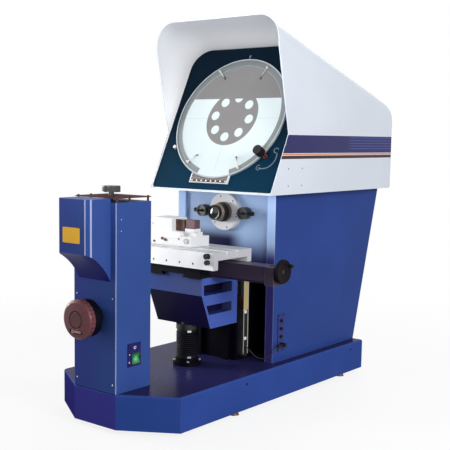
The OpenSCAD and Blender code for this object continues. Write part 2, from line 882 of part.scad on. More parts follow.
module guide_block() {
    x = guide_w / 2;
    foot = frame_y + frame_t + 60;
    color("dimgray") {
        difference() {
            block([-x, guide_y, base_z1], [x, foot, base_z1 + guide_h]);
            block([-x - eps, frame_y, base_z1 + niche_h - slide], [x + eps, foot + eps, base_z1 + guide_h + eps]);
            block([-x + 30, guide_y + 30, base_z1 - eps], [x - 30, foot + eps, base_z1 + guide_h - 30]);
        }
        for (s = [-1, 1]) {
            translate([s * way_x, guide_y + 0.01, base_z1]) linear_extrude(guide_h) way_outline(0);
        }
    }
}

module mirror_plate() {
    z = 18;
    color("lightcyan") on_back_wall()
        translate([-mirror_w / 2, -mirror_w / 2, z]) cube([mirror_w, mirror_w, mirror_t]);
}

module mirror_frame() {
    r = mirror_w / 2 + 6;
    plate = 6;
    stand = 12;
    lip = 4;
    color("dimgray") on_back_wall() {
        translate([-r, -r, stand]) cube([2 * r, 2 * r, plate]);
        for (x = [-1, 1], y = [-1, 1]) {
            translate([x * (r - 16), y * 30, 0]) cylinder(r = 9, h = stand);
        }
        for (y = [-r, mirror_w / 2 + fit]) {
            translate([-r, y, stand + plate]) cube([2 * r, r - mirror_w / 2 - fit, mirror_t + lip]);
        }
    }
}

// Lens and illuminators

module lens_flange() {
    y0 = frame_y - flange_t;
    screws = 6;
    color("white") difference() {
        translate([0, frame_y, axis_z]) rotate([90, 0, 0]) rotate_extrude($fn = 96)
            polygon([
                [barrel_r + run, 0], [flange_r, 0], [flange_r, flange_t - 2], [flange_r - 2, flange_t],
                [barrel_r + run, flange_t],
            ]);
        for (i = [0:screws - 1]) {
            a = 60 * i + 45;
            rod_y(2.5, y0 - eps, y0 + 5, (flange_r - 9) * cos(a), axis_z + (flange_r - 9) * sin(a));
        }
    }
}

module lens_barrel() {
    y0 = frame_y - flange_t - barrel_l;
    glass = lens_r + run;
    color("black") translate([0, y0, axis_z]) rotate([-90, 0, 0]) rotate_extrude($fn = 96)
        polygon([
            [glass, 1], [barrel_r - 9, 0], [barrel_r - 8, 1], [barrel_r - 8, 14], [barrel_r - 6, 15],
            [barrel_r - 6, 18], [barrel_r - 4, 19], [barrel_r - 4, 33], [barrel_r - 6, 34], [barrel_r - 6, 37],
            [barrel_r, 38], [barrel_r, barrel_l + flange_t + frame_t],
            [glass, barrel_l + flange_t + frame_t], [glass, 14], [glass - 2, 14], [glass - 2, 12], [glass, 12],
        ]);
}

module lens_glass() {
    y0 = frame_y - flange_t - barrel_l;
    color("lightcyan") intersection() {
        rod_y(lens_r, y0 + 2, y0 + 12, 0, axis_z);
        translate([0, y0 + 2 + 80, axis_z]) sphere(80, $fn = 96);
    }
}

module illuminators() {
    color("dimgray") for (s = [-1, 1]) {
        difference() {
            union() {
                rod_y(lamp_r, frame_y - lamp_l, frame_y - 8, s * lamp_side, axis_z);
                rod_y(lamp_r - 3, frame_y - 9, frame_y, s * lamp_side, axis_z);
                rod_y(3, frame_y - lamp_l - 18, frame_y - lamp_l + 6, s * lamp_side, axis_z);
                rod_y(1.6, frame_y - lamp_l - 28, frame_y - lamp_l, s * lamp_side, axis_z);
            }
            difference() {
                rod_y(lamp_r - 4, frame_y - lamp_l - eps, frame_y - lamp_l + 3, s * lamp_side, axis_z);
                rod_y(5, frame_y - lamp_l - eps, frame_y, s * lamp_side, axis_z);
            }
            rod_x(2.2 + run, s * (lamp_side + lamp_r) - 8, s * (lamp_side + lamp_r) + 8, frame_y - 18, axis_z);
        }
    }
}

module thumbscrew(s) {
    x = lamp_side + lamp_r;
    color("black") mirror([s < 0 ? 1 : 0, 0, 0]) {
        rod_x(2.2, x - 6, x + 10, frame_y - 18, axis_z);
        translate([x + 10, frame_y - 18, axis_z]) rotate([0, 90, 0]) knurled(6.5, 5);
    }
}

module thumbscrew_left() {
    thumbscrew(-1);
}

module thumbscrew_right() {
    thumbscrew(1);
}

// Scale, its reading head and lead

module connector_plates() {
    x = column_w / 2;
    y = socket_y;
    z = socket_z;
    color("midnightblue") difference() {
        union() {
            block([x, y - 16, z - 56], [x + 2, y + 16, z + 56]);
            block([x - sheet, y - 8, z - 45], [x, y + 8, z + 45]);
            for (i = [-1.5:1.5]) {
                rod_x(5.5, x, x + 5, y, z + 24 * i);
            }
        }
        for (i = [-0.5:1.5]) {
            rod_x(socket_r, x - sheet - eps, x + 5 + eps, y, z + 24 * i);
        }
    }
    color("black") {
        rod_x(6.5, x + 5, x + 20, y, z - 36);
        rod_y(4.5, y - 32, y, x + 12.5, z - 36);
    }
    color("black") difference() {
        block([120, base_len, base_z0 + 30], [168, base_len + 3, base_z0 + 66]);
        block([128, base_len + 1, base_z0 + 36], [160, base_len + 3 + eps, base_z0 + 60]);
    }
}

module vertical_scale() {
    x = guide_w / 2;
    y = scale_y;
    z = base_z1 + scale_lift;
    color("palegoldenrod") {
        block([x, y - 10, z], [x + scale_w, y + 14, z + scale_l]);
        block([x, y - 6, z - 7], [x + scale_w + 1, y + 10, z]);
        rod_x(3, x + scale_w - eps, x + scale_w + 2, y, z + 21);
    }
}

module scale_reader() {
    x = guide_w / 2;
    y = guide_y + 8 - 2;
    z = knee_z0 + 76;
    color("black") {
        block([x + 1, y - 14, z], [x + 22, y - 1.5, z + 44]);
        block([x - 4, y - 20, z + 6], [x + 10, y - 14 + eps, z + 38]);
    }
}

// Ring of points round a path's point, square to the path
function lead_ring(i) =
    let (n = len(lead_path))
    let (t = towards(lead_path[max(i - 1, 0)], lead_path[min(i + 1, n - 1)]))
    let (u = towards([0, 0, 0], cross(t, [0, 0.3, 1])))
    let (v = cross(t, u))
    [for (k = [0:7]) lead_path[i] + lead_r * (cos(45 * k) * u + sin(45 * k) * v)];

module scale_lead() {
    n = len(lead_path);
    points = [for (i = [0:n - 1]) each lead_ring(i)];
    sides = [
        for (i = [0:n - 2], k = [0:7])
            [8 * i + k, 8 * i + (k + 1) % 8, 8 * i + 8 + (k + 1) % 8, 8 * i + 8 + k],
    ];
    first = [for (k = [7:-1:0]) k];
    last = [for (k = [0:7]) 8 * (n - 1) + k];
    color("black") polyhedron(points, concat([first], sides, [last]), convexity = 8);
}

// Stage

// Dovetail between knee and saddle, widened by a clearance
module tail_outline(gap) {
    n = tail_w / 2 - tail_flare + gap;
    h = tail_w / 2 + gap;
    polygon([[-n, -0.01], [n, -0.01], [h, tail_h + gap], [-h, tail_h + gap]]);
}

module knee_side() {
    polygon([
        [knee_y0, knee_z1], [knee_y0, knee_z1 - knee_face], [stage_y - knee_toe, knee_z0],
        [knee_y1, knee_z0], [knee_y1, knee_z1],
    ]);
}

module knee() {
    x = knee_w / 2;
    rear_x = guide_w / 2 - 4;
    rear_y = guide_y - guide_gap;
    web = 9;
    side_y = stage_y + 80;
    ribs = [knee_h * 0.27, knee_h * 0.46, knee_h * 0.66, knee_h * 0.865];
    color("royalblue") difference() {
        union() {
            along_x(knee_w) knee_side();
            block([-rear_x, knee_y1 - 30, knee_z0], [rear_x, rear_y, knee_z1]);
            translate([0, knee_y0 + saddle_d - 20, knee_z1]) rotate([90, 0, 0])
                linear_extrude(saddle_d - 20) tail_outline(0);
        }
        for (s = [-1, 1]) {
            translate([s * x, 0, 0]) along_x(2 * pocket) intersection() {
                offset_knee(web);
                union() {
                    translate([knee_y0, knee_z0 + ribs[0]]) square([side_y - knee_y0, ribs[1] - ribs[0]]);
                    translate([knee_y0, knee_z0 + ribs[2]]) square([side_y - knee_y0, ribs[3] - ribs[2]]);
                }
            }
            translate([s * way_x, guide_y, knee_z0 - eps]) linear_extrude(knee_h + 2 * eps) way_outline(slide);
        }
        rod_z(screw_r + 8 + fit, knee_z0 - eps, knee_z0 + 40 + fit, 0, stage_y);
        rod_z(screw_r + 3, knee_z0, knee_z1 - 8, 0, stage_y);
        rod_x(drive_r - 2 + run, -x - eps, pinion_x, pinion_y, pinion_z);
        rod_x(pinion_r + 3, pinion_x - 0.6, pinion_x + pinion_l + 0.6, pinion_y, pinion_z);
        block([pinion_x - 0.6, pinion_y - pinion_r - 3, pinion_z],
            [pinion_x + pinion_l + 0.6, pinion_y + pinion_r + 3, knee_z1 + tail_h + eps]);
    }
}

// Side outline of the knee moved in from its front and slope by a web
module offset_knee(web) {
    slope = atan2(knee_front - knee_toe, knee_h - knee_face);
    s = web / cos(slope);
    polygon([
        [knee_y0 + web, knee_z1], [knee_y0 + web, knee_z1 - knee_face - web * tan(slope / 2)],
        [stage_y - knee_toe + s, knee_z0], [knee_y1, knee_z0], [knee_y1, knee_z1],
    ]);
}

module lift_nut() {
    color("goldenrod") difference() {
        union() {
            rod_z(bellows_r, nut_z0, knee_z0, 0, stage_y);
            rod_z(screw_r + 8, knee_z0 - eps, knee_z0 + 40, 0, stage_y);
        }
        rod_z(screw_r + run, nut_z0 - eps, knee_z0 + 40 + eps, 0, stage_y);
        for (a = [30:60:330]) {
            rod_z(2.5, nut_z0 - eps, nut_z0 + 6, (bellows_r - 6) * cos(a), stage_y + (bellows_r - 6) * sin(a));
        }
    }
}

module saddle() {
    x = knee_w / 2;
    y1 = saddle_y0 + saddle_d;
    rail_in = channel_d / 2;
    rack_pitch = PI * pinion_module;
    color("black") difference() {
        union() {
            block([-x, saddle_y0, saddle_z0], [x, y1, saddle_z1]);
            for (s = [-1, 1]) {
                block([-x, stage_y + s * (rail_in + rail_d / 2) - rail_d / 2, saddle_z1 - eps],
                    [x, stage_y + s * (rail_in + rail_d / 2) + rail_d / 2, saddle_z1 + rail_h]);
            }
        }
        translate([0, y1 + eps, knee_z1]) rotate([90, 0, 0]) linear_extrude(saddle_d + 2 * eps)
            tail_outline(slide);
        for (i = [-5:5]) {
            translate([pinion_x + pinion_l / 2, pinion_y + rack_pitch * i, pinion_z + pinion_r])
                along_x(pinion_l + 2) polygon([
                    [-0.36 * rack_pitch, -pinion_module - eps], [0.36 * rack_pitch, -pinion_module - eps],
                    [0.36 * rack_pitch, -pinion_module], [0.17 * rack_pitch, 1.3 * pinion_module],
                    [-0.17 * rack_pitch, 1.3 * pinion_module], [-0.36 * rack_pitch, -pinion_module],
                ]);
        }
    }
}

module focus_knob() {
    x = knee_w / 2;
    color("black") {
        rod_x(drive_r - 2, -x - 14, pinion_x + eps, pinion_y, pinion_z);
        translate([pinion_x, pinion_y, pinion_z]) rotate([0, 90, 0]) linear_extrude(pinion_l)
            rotate(180) polygon(gear_outline(pinion_teeth, pinion_r, pinion_module, 1.25 * pinion_module));
        translate([-x - 14, pinion_y, pinion_z]) rotate([0, -90, 0]) knurled(20, 18);
        rod_x(11, -x - 14 - eps, -x - slide, pinion_y, pinion_z);
    }
}

module x_arm() {
    y = arm_d / 2;
    root = knee_w / 2;
    color("black") difference() {
        union() {
            along_arm(root, arm_reach) polygon([
                [-y, arm_z0 + 8], [-y + 8, arm_z0], [y - 8, arm_z0], [y, arm_z0 + 8], [y, arm_z1], [-y, arm_z1],
            ]);
            block([arm_reach - eps, stage_y - y - 2, arm_z0 - 2], [arm_reach + bearing_l, stage_y + y + 2, arm_z1]);
            rod_x(15, arm_reach, arm_reach + bearing_l + 3, stage_y, x_axis_z);
        }
        rod_x(x_screw_r + run, root - eps, arm_reach + bearing_l + 3 + eps, stage_y, x_axis_z);
    }
}

// Extrudes a (Y from the stage's middle, Z) outline along X from x0 to x1
module along_arm(x0, x1) {
    translate([(x0 + x1) / 2, stage_y, 0]) along_x(x1 - x0) children();
}

module table() {
    x = table_w / 2;
    z0 = table_z1 - apron_h;
    screw_n = 6;
    color("whitesmoke") difference() {
        union() {
            block([-x, table_y0, table_ceil], [x, table_y1, table_z1]);
            block([-x, table_y0, z0], [x, table_y0 + apron_t, table_z1]);
            block([-x, table_y1 - apron_t, z0 + apron_step], [x, table_y1, table_z1]);
            block([x_lug_x - lug_l / 2, stage_y - lug_d / 2, saddle_z1 + slide],
                [x_lug_x + lug_l / 2, stage_y + lug_d / 2, table_ceil + eps]);
        }
        for (s = [-1, 1]) {
            translate([0, stage_y - 14 + s * slot_pitch / 2, table_z1]) along_x(table_w + 2 * eps) polygon([
                [-slot_w / 2, eps], [-slot_w / 2, -8], [-slot_w / 2 - 4, -8], [-slot_w / 2 - 4, -15],
                [slot_w / 2 + 4, -15], [slot_w / 2 + 4, -8], [slot_w / 2, -8], [slot_w / 2, eps],
            ]);
        }
        rod_x(x_screw_r + run, x_lug_x - lug_l, x_lug_x + lug_l, stage_y, x_axis_z);
        for (i = [0:screw_n - 1]) {
            rod_y(3, table_y0 - eps, table_y0 + 6, x - 73 - 48.5 * i, z0 + 13);
        }
        for (z = [clamp_z, release_z]) {
            rod_y(lever_r + run, table_y0 - eps, table_y0 + apron_t * 0.7, lever_x, z);
        }
    }
}

module quick_release() {
    color("black") translate([lever_x, table_y0, release_z]) {
        rotate([90, 0, 0]) {
            translate([0, 0, -10]) cylinder(r = lever_r, h = 10 + fit);
            translate([0, 0, fit]) knurled(8, 11);
        }
    }
}

module table_clamp() {
    color("black") translate([lever_x, table_y0, clamp_z]) {
        rotate([90, 0, 0]) {
            translate([0, 0, -10]) cylinder(r = lever_r, h = 20);
            translate([0, 0, fit]) cylinder(r = 7, h = 9);
            translate([0, 0, 9]) linear_extrude(3) {
                circle(5);
                translate([0, -2]) square([13, 4]);
            }
        }
    }
}

module x_screw() {
    color("silver") rod_x(x_screw_r, -knee_w / 2 - 50, x_wheel_x + x_wheel_t - 4, stage_y, x_axis_z);
}

module x_wheel() {
    pin = x_wheel_r * 0.74;
    color("dimgray") difference() {
        translate([x_wheel_x, stage_y, x_axis_z]) rotate([0, 90, 0]) rotate_extrude($fn = 96)
            polygon([
                [x_screw_r + run, 0], [x_wheel_r - 3, 0], [x_wheel_r, 3], [x_wheel_r, x_wheel_t - 3],
                [x_wheel_r - 2, x_wheel_t], [x_wheel_r - 6, x_wheel_t - 1], [12, x_wheel_t - 3],
                [x_screw_r + run, x_wheel_t - 3],
            ]);
        rod_x(2 + run, x_wheel_x + 3, x_wheel_x + x_wheel_t + eps,
            stage_y + pin * cos(38), x_axis_z + pin * sin(38));
    }
}

module x_crank_knob() {
    pin = x_wheel_r * 0.74;
    color("black") translate([x_wheel_x + x_wheel_t, stage_y + pin * cos(38), x_axis_z + pin * sin(38)])
        rotate([0, 90, 0]) {
            translate([0, 0, -6]) cylinder(r = 2, h = 10);
            translate([0, 0, 0.5]) cylinder(r1 = 3.5, r2 = 5.5, h = 14);
            translate([0, 0, 14.5]) cylinder(r1 = 5.5, r2 = 4, h = 2);
        }
}

// Vise

module vise_base() {
    y1 = vise_y0 + vise_d;
    x1 = vise_x0 + vise_l;
    tower_l = jaw_x - jaw_l - vise_x0;
    slide_z = table_z1 + jaw_z - jaw_ledge;
    color("white") difference() {
        union() {
            block([vise_x0, vise_y0, table_z1], [x1 - vise_block_l, y1, table_z1 + vise_h - 8]);
            block([x1 - vise_block_l, vise_y0, table_z1], [x1, y1, table_z1 + vise_h]);
            block([vise_x0, vise_y0 + 8, table_z1 + vise_h - 8 - eps],
                [vise_x0 + tower_l + jaw_l, y1 - 8, slide_z]);
            block([vise_x0, vise_y0 + 8, slide_z - eps],
                [vise_x0 + tower_l, y1 - 8, table_z1 + jaw_z + jaw_h + 3]);
            block([jaw_x - eps, stage_y - jaw_d / 2 - 4, table_z1 + vise_h - 8 - eps],
                [x1, stage_y + jaw_d / 2 + 4, slide_z - slide]);
        }
        rod_x(vise_screw_r + run, vise_x0 - eps, vise_x0 + tower_l + eps, stage_y, table_z1 + jaw_z + jaw_h / 2);
    }
    color("rosybrown") difference() {
        block([jaw_x - jaw_l, stage_y - jaw_d / 2, slide_z], [jaw_x, stage_y + jaw_d / 2, table_z1 + jaw_z + jaw_h]);
        rod_x(vise_screw_r + run, jaw_x - jaw_l - eps, jaw_x + eps, stage_y, table_z1 + jaw_z + jaw_h / 2);
    }
}

module vise_jaw() {
    x = jaw_x + jaw_open;
    color("rosybrown") difference() {
        union() {
            block([x, stage_y - jaw_d / 2, table_z1 + jaw_z], [x + jaw_l, stage_y + jaw_d / 2, table_z1 + jaw_z + jaw_h]);
            block([x, stage_y - jaw_d / 2 - 4, table_z1 + jaw_z - jaw_ledge],
                [x + jaw_l, stage_y + jaw_d / 2 + 4, table_z1 + jaw_z + eps]);
        }
        rod_x(vise_screw_r + run, x - eps, x + jaw_l - jaw_wall, stage_y, table_z1 + jaw_z + jaw_h / 2);
    }
}

module vise_screw() {
    z = table_z1 + jaw_z + jaw_h / 2;
    color("silver") {
        rod_x(vise_screw_r, vise_x0 - 8, vise_screw_x, stage_y, z);
        translate([vise_x0 - 8, stage_y, z]) rotate([0, -90, 0]) knurled(12, 14);
    }
}

// Head

// Side outline of the head, moved in by a wall and a floor, opened forwards for the cavity
module head_side(wall, floor, open) {
    up = [sin(screen_tilt), cos(screen_tilt)];
    centre = [screen_y, screen_z];
    low = centre - up * screen_h / cos(screen_tilt);
    reach = open ? 60 : 0;
    y1 = head_y1 - wall;
    z0 = column_z1 + floor;
    r = head_back_r - wall;
    half = (90 + head_slope) / 2;
    fall = tan(head_slope);
    top_z = head_z1 - wall / cos(head_slope);
    back_z = top_z - (y1 - hood_y) * fall;
    tangent = r / tan(half);
    front = open ? [[low[0] - reach, z0]] : [[low[0], z0], centre - up * hood_corner, [hood_y, head_z1 - hood_lip]];
    polygon(concat(front, [
        [hood_y - reach, top_z + reach * fall],
        [y1 - tangent * cos(head_slope), back_z + tangent * sin(head_slope)],
        [y1, back_z - tangent], [y1, z0 + floor_r], [y1 - floor_r, z0],
    ]));
    translate([y1 - r, back_z - tangent]) circle(r);
    translate([y1 - floor_r, z0 + floor_r]) circle(floor_r);
}

// Cross-section of the hood, square to its sloping top
module hood_section(wall) {
    x = head_w / 2 - wall;
    r = hood_r - wall;
    deep = 2 * head_h;
    translate([-x, -deep]) square([2 * x, deep - wall - r]);
    translate([-x + r, -deep]) square([2 * (x - r), deep - wall]);
    for (s = [-1, 1]) {
        translate([s * (x - r), -wall - r]) circle(r);
    }
}

module hood_body(wall, floor, open) {
    reach = head_y1 - hood_y;
    intersection() {
        along_x(head_w - 2 * wall) head_side(wall, floor, open);
        translate([0, hood_y, head_z1]) rotate([90 - head_slope, 0, 0])
            translate([0, 0, -1.3 * reach]) linear_extrude(2 * reach) hood_section(wall);
    }
}

module head_shell() {
    beam_x = niche_w / 2;
    color("white") difference() {
        hood_body(0, 0, false);
        hood_body(sheet, head_floor, true);
        block([-beam_x, frame_y + frame_t + 20, column_z1 - eps],
            [beam_x, column_y1 + column_lean - 2, column_z1 + head_floor + eps]);
    }
}

module screen_panel() {
    corner_r = hood_r - sheet + 2;
    color("midnightblue") on_screen() translate([0, 0, panel_z0]) linear_extrude(panel_t) difference() {
        panel_outline(panel_x, panel_y0, panel_y1, corner_r, 12);
        circle(ring_r + fit, $fn = 128);
        rotate(knob_turn) translate([knob_place, 0]) circle(4 + run);
        rotate(clamp_turn) translate([ring_r + 8, 0]) circle(2 + run);
    }
}

module vernier_plate() {
    half = 72;
    low = ring_r + 16;
    color("maroon") on_screen() translate([-8, 0, panel_z1]) linear_extrude(panel_set + 1) difference() {
        translate([-half, -low]) square([2 * half, 30]);
        translate([8, 0]) circle(ring_r + fit, $fn = 128);
    }
}

module screen_ring() {
    band = ring_r - rim_w;
    glass = screen_r + 4;
    back = panel_z0 - fit;
    color("silver") on_screen() difference() {
        rotate_extrude($fn = 128) polygon([
            [screen_r, 0], [band, 0], [band, rim_h], [ring_r, rim_h], [ring_r, back],
            [flange_back, back], [flange_back, back - 6], [glass, back - 6], [glass, -2], [screen_r, -2],
        ]);
        for (i = [0:3]) {
            rotate(clip_place[i]) translate([clip_r, 0, -2]) cylinder(r = 2 + run, h = 4);
        }
    }
}

module screen_glass() {
    color("azure") on_screen() translate([0, 0, -2 - glass_t])
        cylinder(r = screen_r + 4 - run, h = glass_t, $fn = 128);
}

module chart_clip(i) {
    color("silver") on_screen() rotate(clip_place[i]) translate([clip_r, 0, 0])
        rotate(clip_aim[i] - clip_place[i]) {
            translate([0, 0, -1.8]) cylinder(r = 2, h = 6);
            translate([0, 0, 0.2]) cylinder(r = 4, h = 5);
            translate([0, 0, 5]) cylinder(r1 = 4, r2 = 2.5, h = 3);
            translate([0, -1.5, 4.2]) cube([clip_l - 5, 3, 1]);
            translate([clip_l - 6, 0, 0.6]) cylinder(r = 2.2, h = 4.6);
        }
}

module clip_1() {
    chart_clip(0);
}

module clip_2() {
    chart_clip(1);
}

module clip_3() {
    chart_clip(2);
}

module clip_4() {
    chart_clip(3);
}

module screen_knob() {
    back = panel_z0 - fit;
    color("black") on_screen() rotate(knob_turn) translate([knob_place, 0, 0]) {
        translate([0, 0, back - 6]) cylinder(r = roller_r, h = 6);
        translate([0, 0, back - 1]) cylinder(r = 4, h = knob_out - back - 2);
        translate([0, 0, knob_out - knob_l]) knurled(knob_r, knob_l);
        translate([0, 0, panel_z1 + fit]) cylinder(r = 7, h = 6);
    }
}

module screen_clamp() {
    color("silver") on_screen() rotate(clamp_turn) translate([ring_r + 8, 0, 0]) {
        translate([0, 0, panel_z0 - 3]) cylinder(r = 2, h = panel_t + 3 + fit);
        translate([0, 0, panel_z1 + fit]) knurled(5.5, 8);
    }
}

base();
levelling_feet();
tower_housing();
tower_head();
vent_cover();
lid_knob();
switch_plate();
power_rocker();
lamp_unit();
collimator();
wheel_collar();
lift_wheel();
lift_crank();
lift_shaft();
drive_belt();
drive_shaft();
gearbox();
lead_screw();
bellows_flange();
bellows();
column_frame();
column_cover();
guide_block();
mirror_plate();  // mirror
mirror_frame();
lens_flange();
lens_barrel();
lens_glass();
illuminators();
thumbscrew_left();
thumbscrew_right();
connector_plates();
vertical_scale();
scale_reader();
scale_lead();
knee();
lift_nut();
saddle();
x_arm();
focus_knob();
table();
quick_release();
table_clamp();
x_screw();
x_wheel();
x_crank_knob();
vise_base();
vise_jaw();
vise_screw();
head_shell();
screen_panel();
vernier_plate();
screen_ring();
screen_glass();
clip_1();
clip_2();
clip_3();
clip_4();
screen_knob();
screen_clamp();
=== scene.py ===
"""Finishes, small fittings, camera and light for the optical comparator."""
import math

import bpy
import numpy as np
from mathutils import Matrix, Vector


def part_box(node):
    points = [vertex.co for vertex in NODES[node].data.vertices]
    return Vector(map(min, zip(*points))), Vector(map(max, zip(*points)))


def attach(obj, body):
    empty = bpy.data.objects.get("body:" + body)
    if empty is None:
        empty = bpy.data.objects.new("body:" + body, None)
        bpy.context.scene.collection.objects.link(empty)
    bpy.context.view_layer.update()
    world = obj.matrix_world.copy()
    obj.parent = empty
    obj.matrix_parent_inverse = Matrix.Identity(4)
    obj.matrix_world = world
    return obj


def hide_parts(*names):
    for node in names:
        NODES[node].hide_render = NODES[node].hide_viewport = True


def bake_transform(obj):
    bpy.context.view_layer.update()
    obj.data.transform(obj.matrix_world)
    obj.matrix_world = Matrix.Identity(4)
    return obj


bl_info = {
    "name": "Optical comparator dressing",
    "version": (1, 0, 0),
    "blender": (4, 5, 0),
    "location": "View3D > Sidebar > Comparator",
    "description": "Paint, metal and screen finishes with the small fittings of an optical comparator",
    "category": "Object",
}

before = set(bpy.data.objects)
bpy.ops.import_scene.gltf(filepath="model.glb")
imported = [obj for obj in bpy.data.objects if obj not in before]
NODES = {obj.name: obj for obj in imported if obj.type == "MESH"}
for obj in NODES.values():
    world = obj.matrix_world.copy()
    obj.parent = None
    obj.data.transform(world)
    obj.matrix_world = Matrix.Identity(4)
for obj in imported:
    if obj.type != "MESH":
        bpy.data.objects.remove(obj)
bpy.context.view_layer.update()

MM = 0.001
RIGHT = (1.0, 0.0, 0.0)
BACK = (0.0, 1.0, 0.0)
UP = (0.0, 0.0, 1.0)
AHEAD = (0.0, -1.0, 0.0)
DOWN = (0.0, 0.0, -1.0)
LEFT_SLANT = (-0.707, -0.707, 0.0)

# Camera, as yaw, pitch and roll in degrees, and lamps, as place, aim, width, watts and spread in degrees
CAMERA_PLACE = (1.6736, -1.6088, 0.7657)
CAMERA_TURN = (39.617, 6.786, 0.755)
CAMERA_LENS = 72.195
CAMERA_SHIFT = (0.0623, 0.0461)
LAMPS = {
    "key": ((3.2, -0.5, 1.5), (0, 0.4, 0.5), 1.6, 82, 180),
    "left": ((-2.9, -0.4, 2.0), (0, 0.4, 0.6), 2.4, 30, 180),
    "rear": ((-0.9, 3.5, 2.6), (0, 0.6, 0.6), 2.0, 30, 180),
    "table": ((-0.85, -0.06, 0.58), (0.02, 0.28, 0.44), 0.4, 1.6, 60),
    "hood": ((0.25, -1.5, 0.9), (0.0, 0.62, 1.04), 0.6, 1.5, 26),
}
WORLD_LIGHT = 0.4
FLOOR_WHITE = 0.85
FLOOR_MIDDLE = 0.5
FLOOR_RADIUS = 7.0

# Screen: its centre and its own axes, tilted back from upright
TILT = math.radians(25.8)
SCREEN = np.array([0.0, 0.562, 0.828])
SCREEN_X = np.array([1.0, 0.0, 0.0])
SCREEN_UP = np.array([0.0, math.sin(TILT), math.cos(TILT)])
SCREEN_OUT = np.array([0.0, -math.cos(TILT), math.sin(TILT)])
PANEL_FACE = -0.004

# Points that the signal lead passes, in millimetres
LEAD_ROUTE = MM * np.array([
    [106, 518, 150], [113, 518, 148], [121, 518, 143], [129, 518, 136], [138, 519, 129], [148, 520, 124],
    [158, 522, 122], [167, 524, 123], [175, 526, 126], [182, 528, 131], [188, 530, 137], [193, 532, 143],
    [196, 535, 149], [198, 539, 154], [198, 545, 158], [198, 552, 159],
])

# Places where a tone changes, in metres; WHEEL_DISC is a share of the wheel's radius, HEAD_SLOPE a ratio
TOWER_SIDE = 0.077
# Places of painted highlights down the tower's upright edges: x, y and width
TOWER_EDGES = ((0.047, -0.079, 0.0022), (0.058, -0.068, 0.0032), (TOWER_SIDE, 0.0, 0.0022))
BASE_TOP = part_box("base")[1][2]
PLATE_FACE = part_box("column_cover")[1][0] + 0.002
BORDER_DEPTH = 0.012
BORDER_WIDTH = 0.0262
BORDER_LINE = 0.0024
# Heights where painted light on the column's front gives way to painted shade below the table, then the
# bounds across and down of a darker painted shadow left of the lens
BORDER_FADE = (0.41, 0.47)
FRONT_FADE = (0.39, 0.49)
SHADE_ACROSS = (0.075, 0.005)
SHADE_DOWN = (0.505, 0.46)
WHEEL_DISC = 0.42
WHEEL_FACE = 0.006
ROCKER_GLOW = (0.011, 0.012)
LENS_RINGS = (0.0136, 0.0176, 0.0326)
LENS_RING_WIDTH = 0.002
LENS_WIDE = (0.0375, 0.05)
LENS_TURNED = (0.0385, 0.05)
LENS_PITCH = 0.0028
JAW_FACE = 0.0335
HOOD_MIDDLE = (0.0, 0.62, 0.86)
HOOD_DEPTH = 0.17
HEAD_SIDE = 0.2272
HEAD_FRONT = (0.456, 0.609)
HEAD_SLOPE = 0.483
BAND_LOW = 0.727
BAND_HIGH = 0.779
ORANGE_LINE = (0.7215, 0.7255)
MAROON_LINE = (0.7105, 0.7198)
STRIPE_PITCH = 0.0085
STRIPE_FADE = (0.86, 0.9)
SCALE_SPLIT = 0.262
SCALE_BROWN = (0.28, 0.33)
SCALE_EDGE = 0.0035

# Picture on the ground glass and marks round it, in metres and degrees about the screen's centre
FLANGE_X = 0.004
FLANGE_UP = 0.003
FLANGE_RIM = (0.0935, 0.0915)
HOLES = 8
HOLE_RIM = (0.0135, 0.0155)
HOLE_RING = 0.065
HOLE_TURN = -5.0
STRAIGHT_EDGE = (0.0655, 0.0665)
CROSS_LINE = (0.0006, 0.0003)
RING_OUTER = 0.194
RING_INNER = 0.1772
RING_TICKS = ((1.0, 0.46, 0.005), (5.0, 2.45, 0.008), (10.0, 4.93, 0.012))
RING_GAP = (252.0, 288.0)
CLIP_HELD = (0.15, 0.165)
VERNIER_X = -0.008
VERNIER_UP = -0.2075
VERNIER_DOTS = 0.018
VERNIER_LINES = 0.004
KNOB_ARROW = (0.1677, -0.1219)

# Small fittings, in metres
CUFF = 0.0075
STRAP = 0.0028
TOWER_PLATE = (0.062, 0.0395)
TOWER_PLATE_PLACE = (-0.0025, -0.079, 0.5205)
ROCKER_LUGS = 0.004
BEZEL_GAP = 0.0018
BEZEL_RIM = 0.005
SCALE_FACE = 0.104
BOSS_PLACE = (0.0215, 0.4745)


# Surfaces

def mesh_object(name, points, faces, finish, smooth=True):
    """A piece at the origin from an array of points and lists of face corners."""
    mesh = bpy.data.meshes.new(name)
    mesh.from_pydata(np.asarray(points).tolist(), [], [list(map(int, f)) for f in faces])
    mesh.update()
    if smooth:
        mesh.shade_smooth()
        mesh.set_sharp_from_angle(angle=math.radians(35))
    else:
        mesh.shade_flat()
    piece = bpy.data.objects.new(name, mesh)
    bpy.context.scene.collection.objects.link(piece)
    mesh.materials.append(finish)
    return piece


def grid_faces(rows, cols, wrap_rows=False, wrap_cols=True):
    """Quads of a grid: corner (i, j) is number i * cols + j, and either direction may close on itself."""
    i = np.arange(rows if wrap_rows else rows - 1)[:, None]
    j = np.arange(cols if wrap_cols else cols - 1)[None, :]
    up, on = (i + 1) % rows, (j + 1) % cols
    quads = np.stack([i * cols + j, i * cols + on, up * cols + on, up * cols + j], axis=-1)
    return [tuple(q) for q in quads.reshape(-1, 4)]


def axes_for(axis):
    """Two unit vectors square to an axis, so that with it they make a right-handed set."""
    axis = np.asarray(axis, float) / np.linalg.norm(axis)
    side = np.array(UP) if abs(axis[2]) < 0.9 else np.array(RIGHT)
    u = np.cross(side, axis)
    u /= np.linalg.norm(u)
    return u, np.cross(axis, u), axis


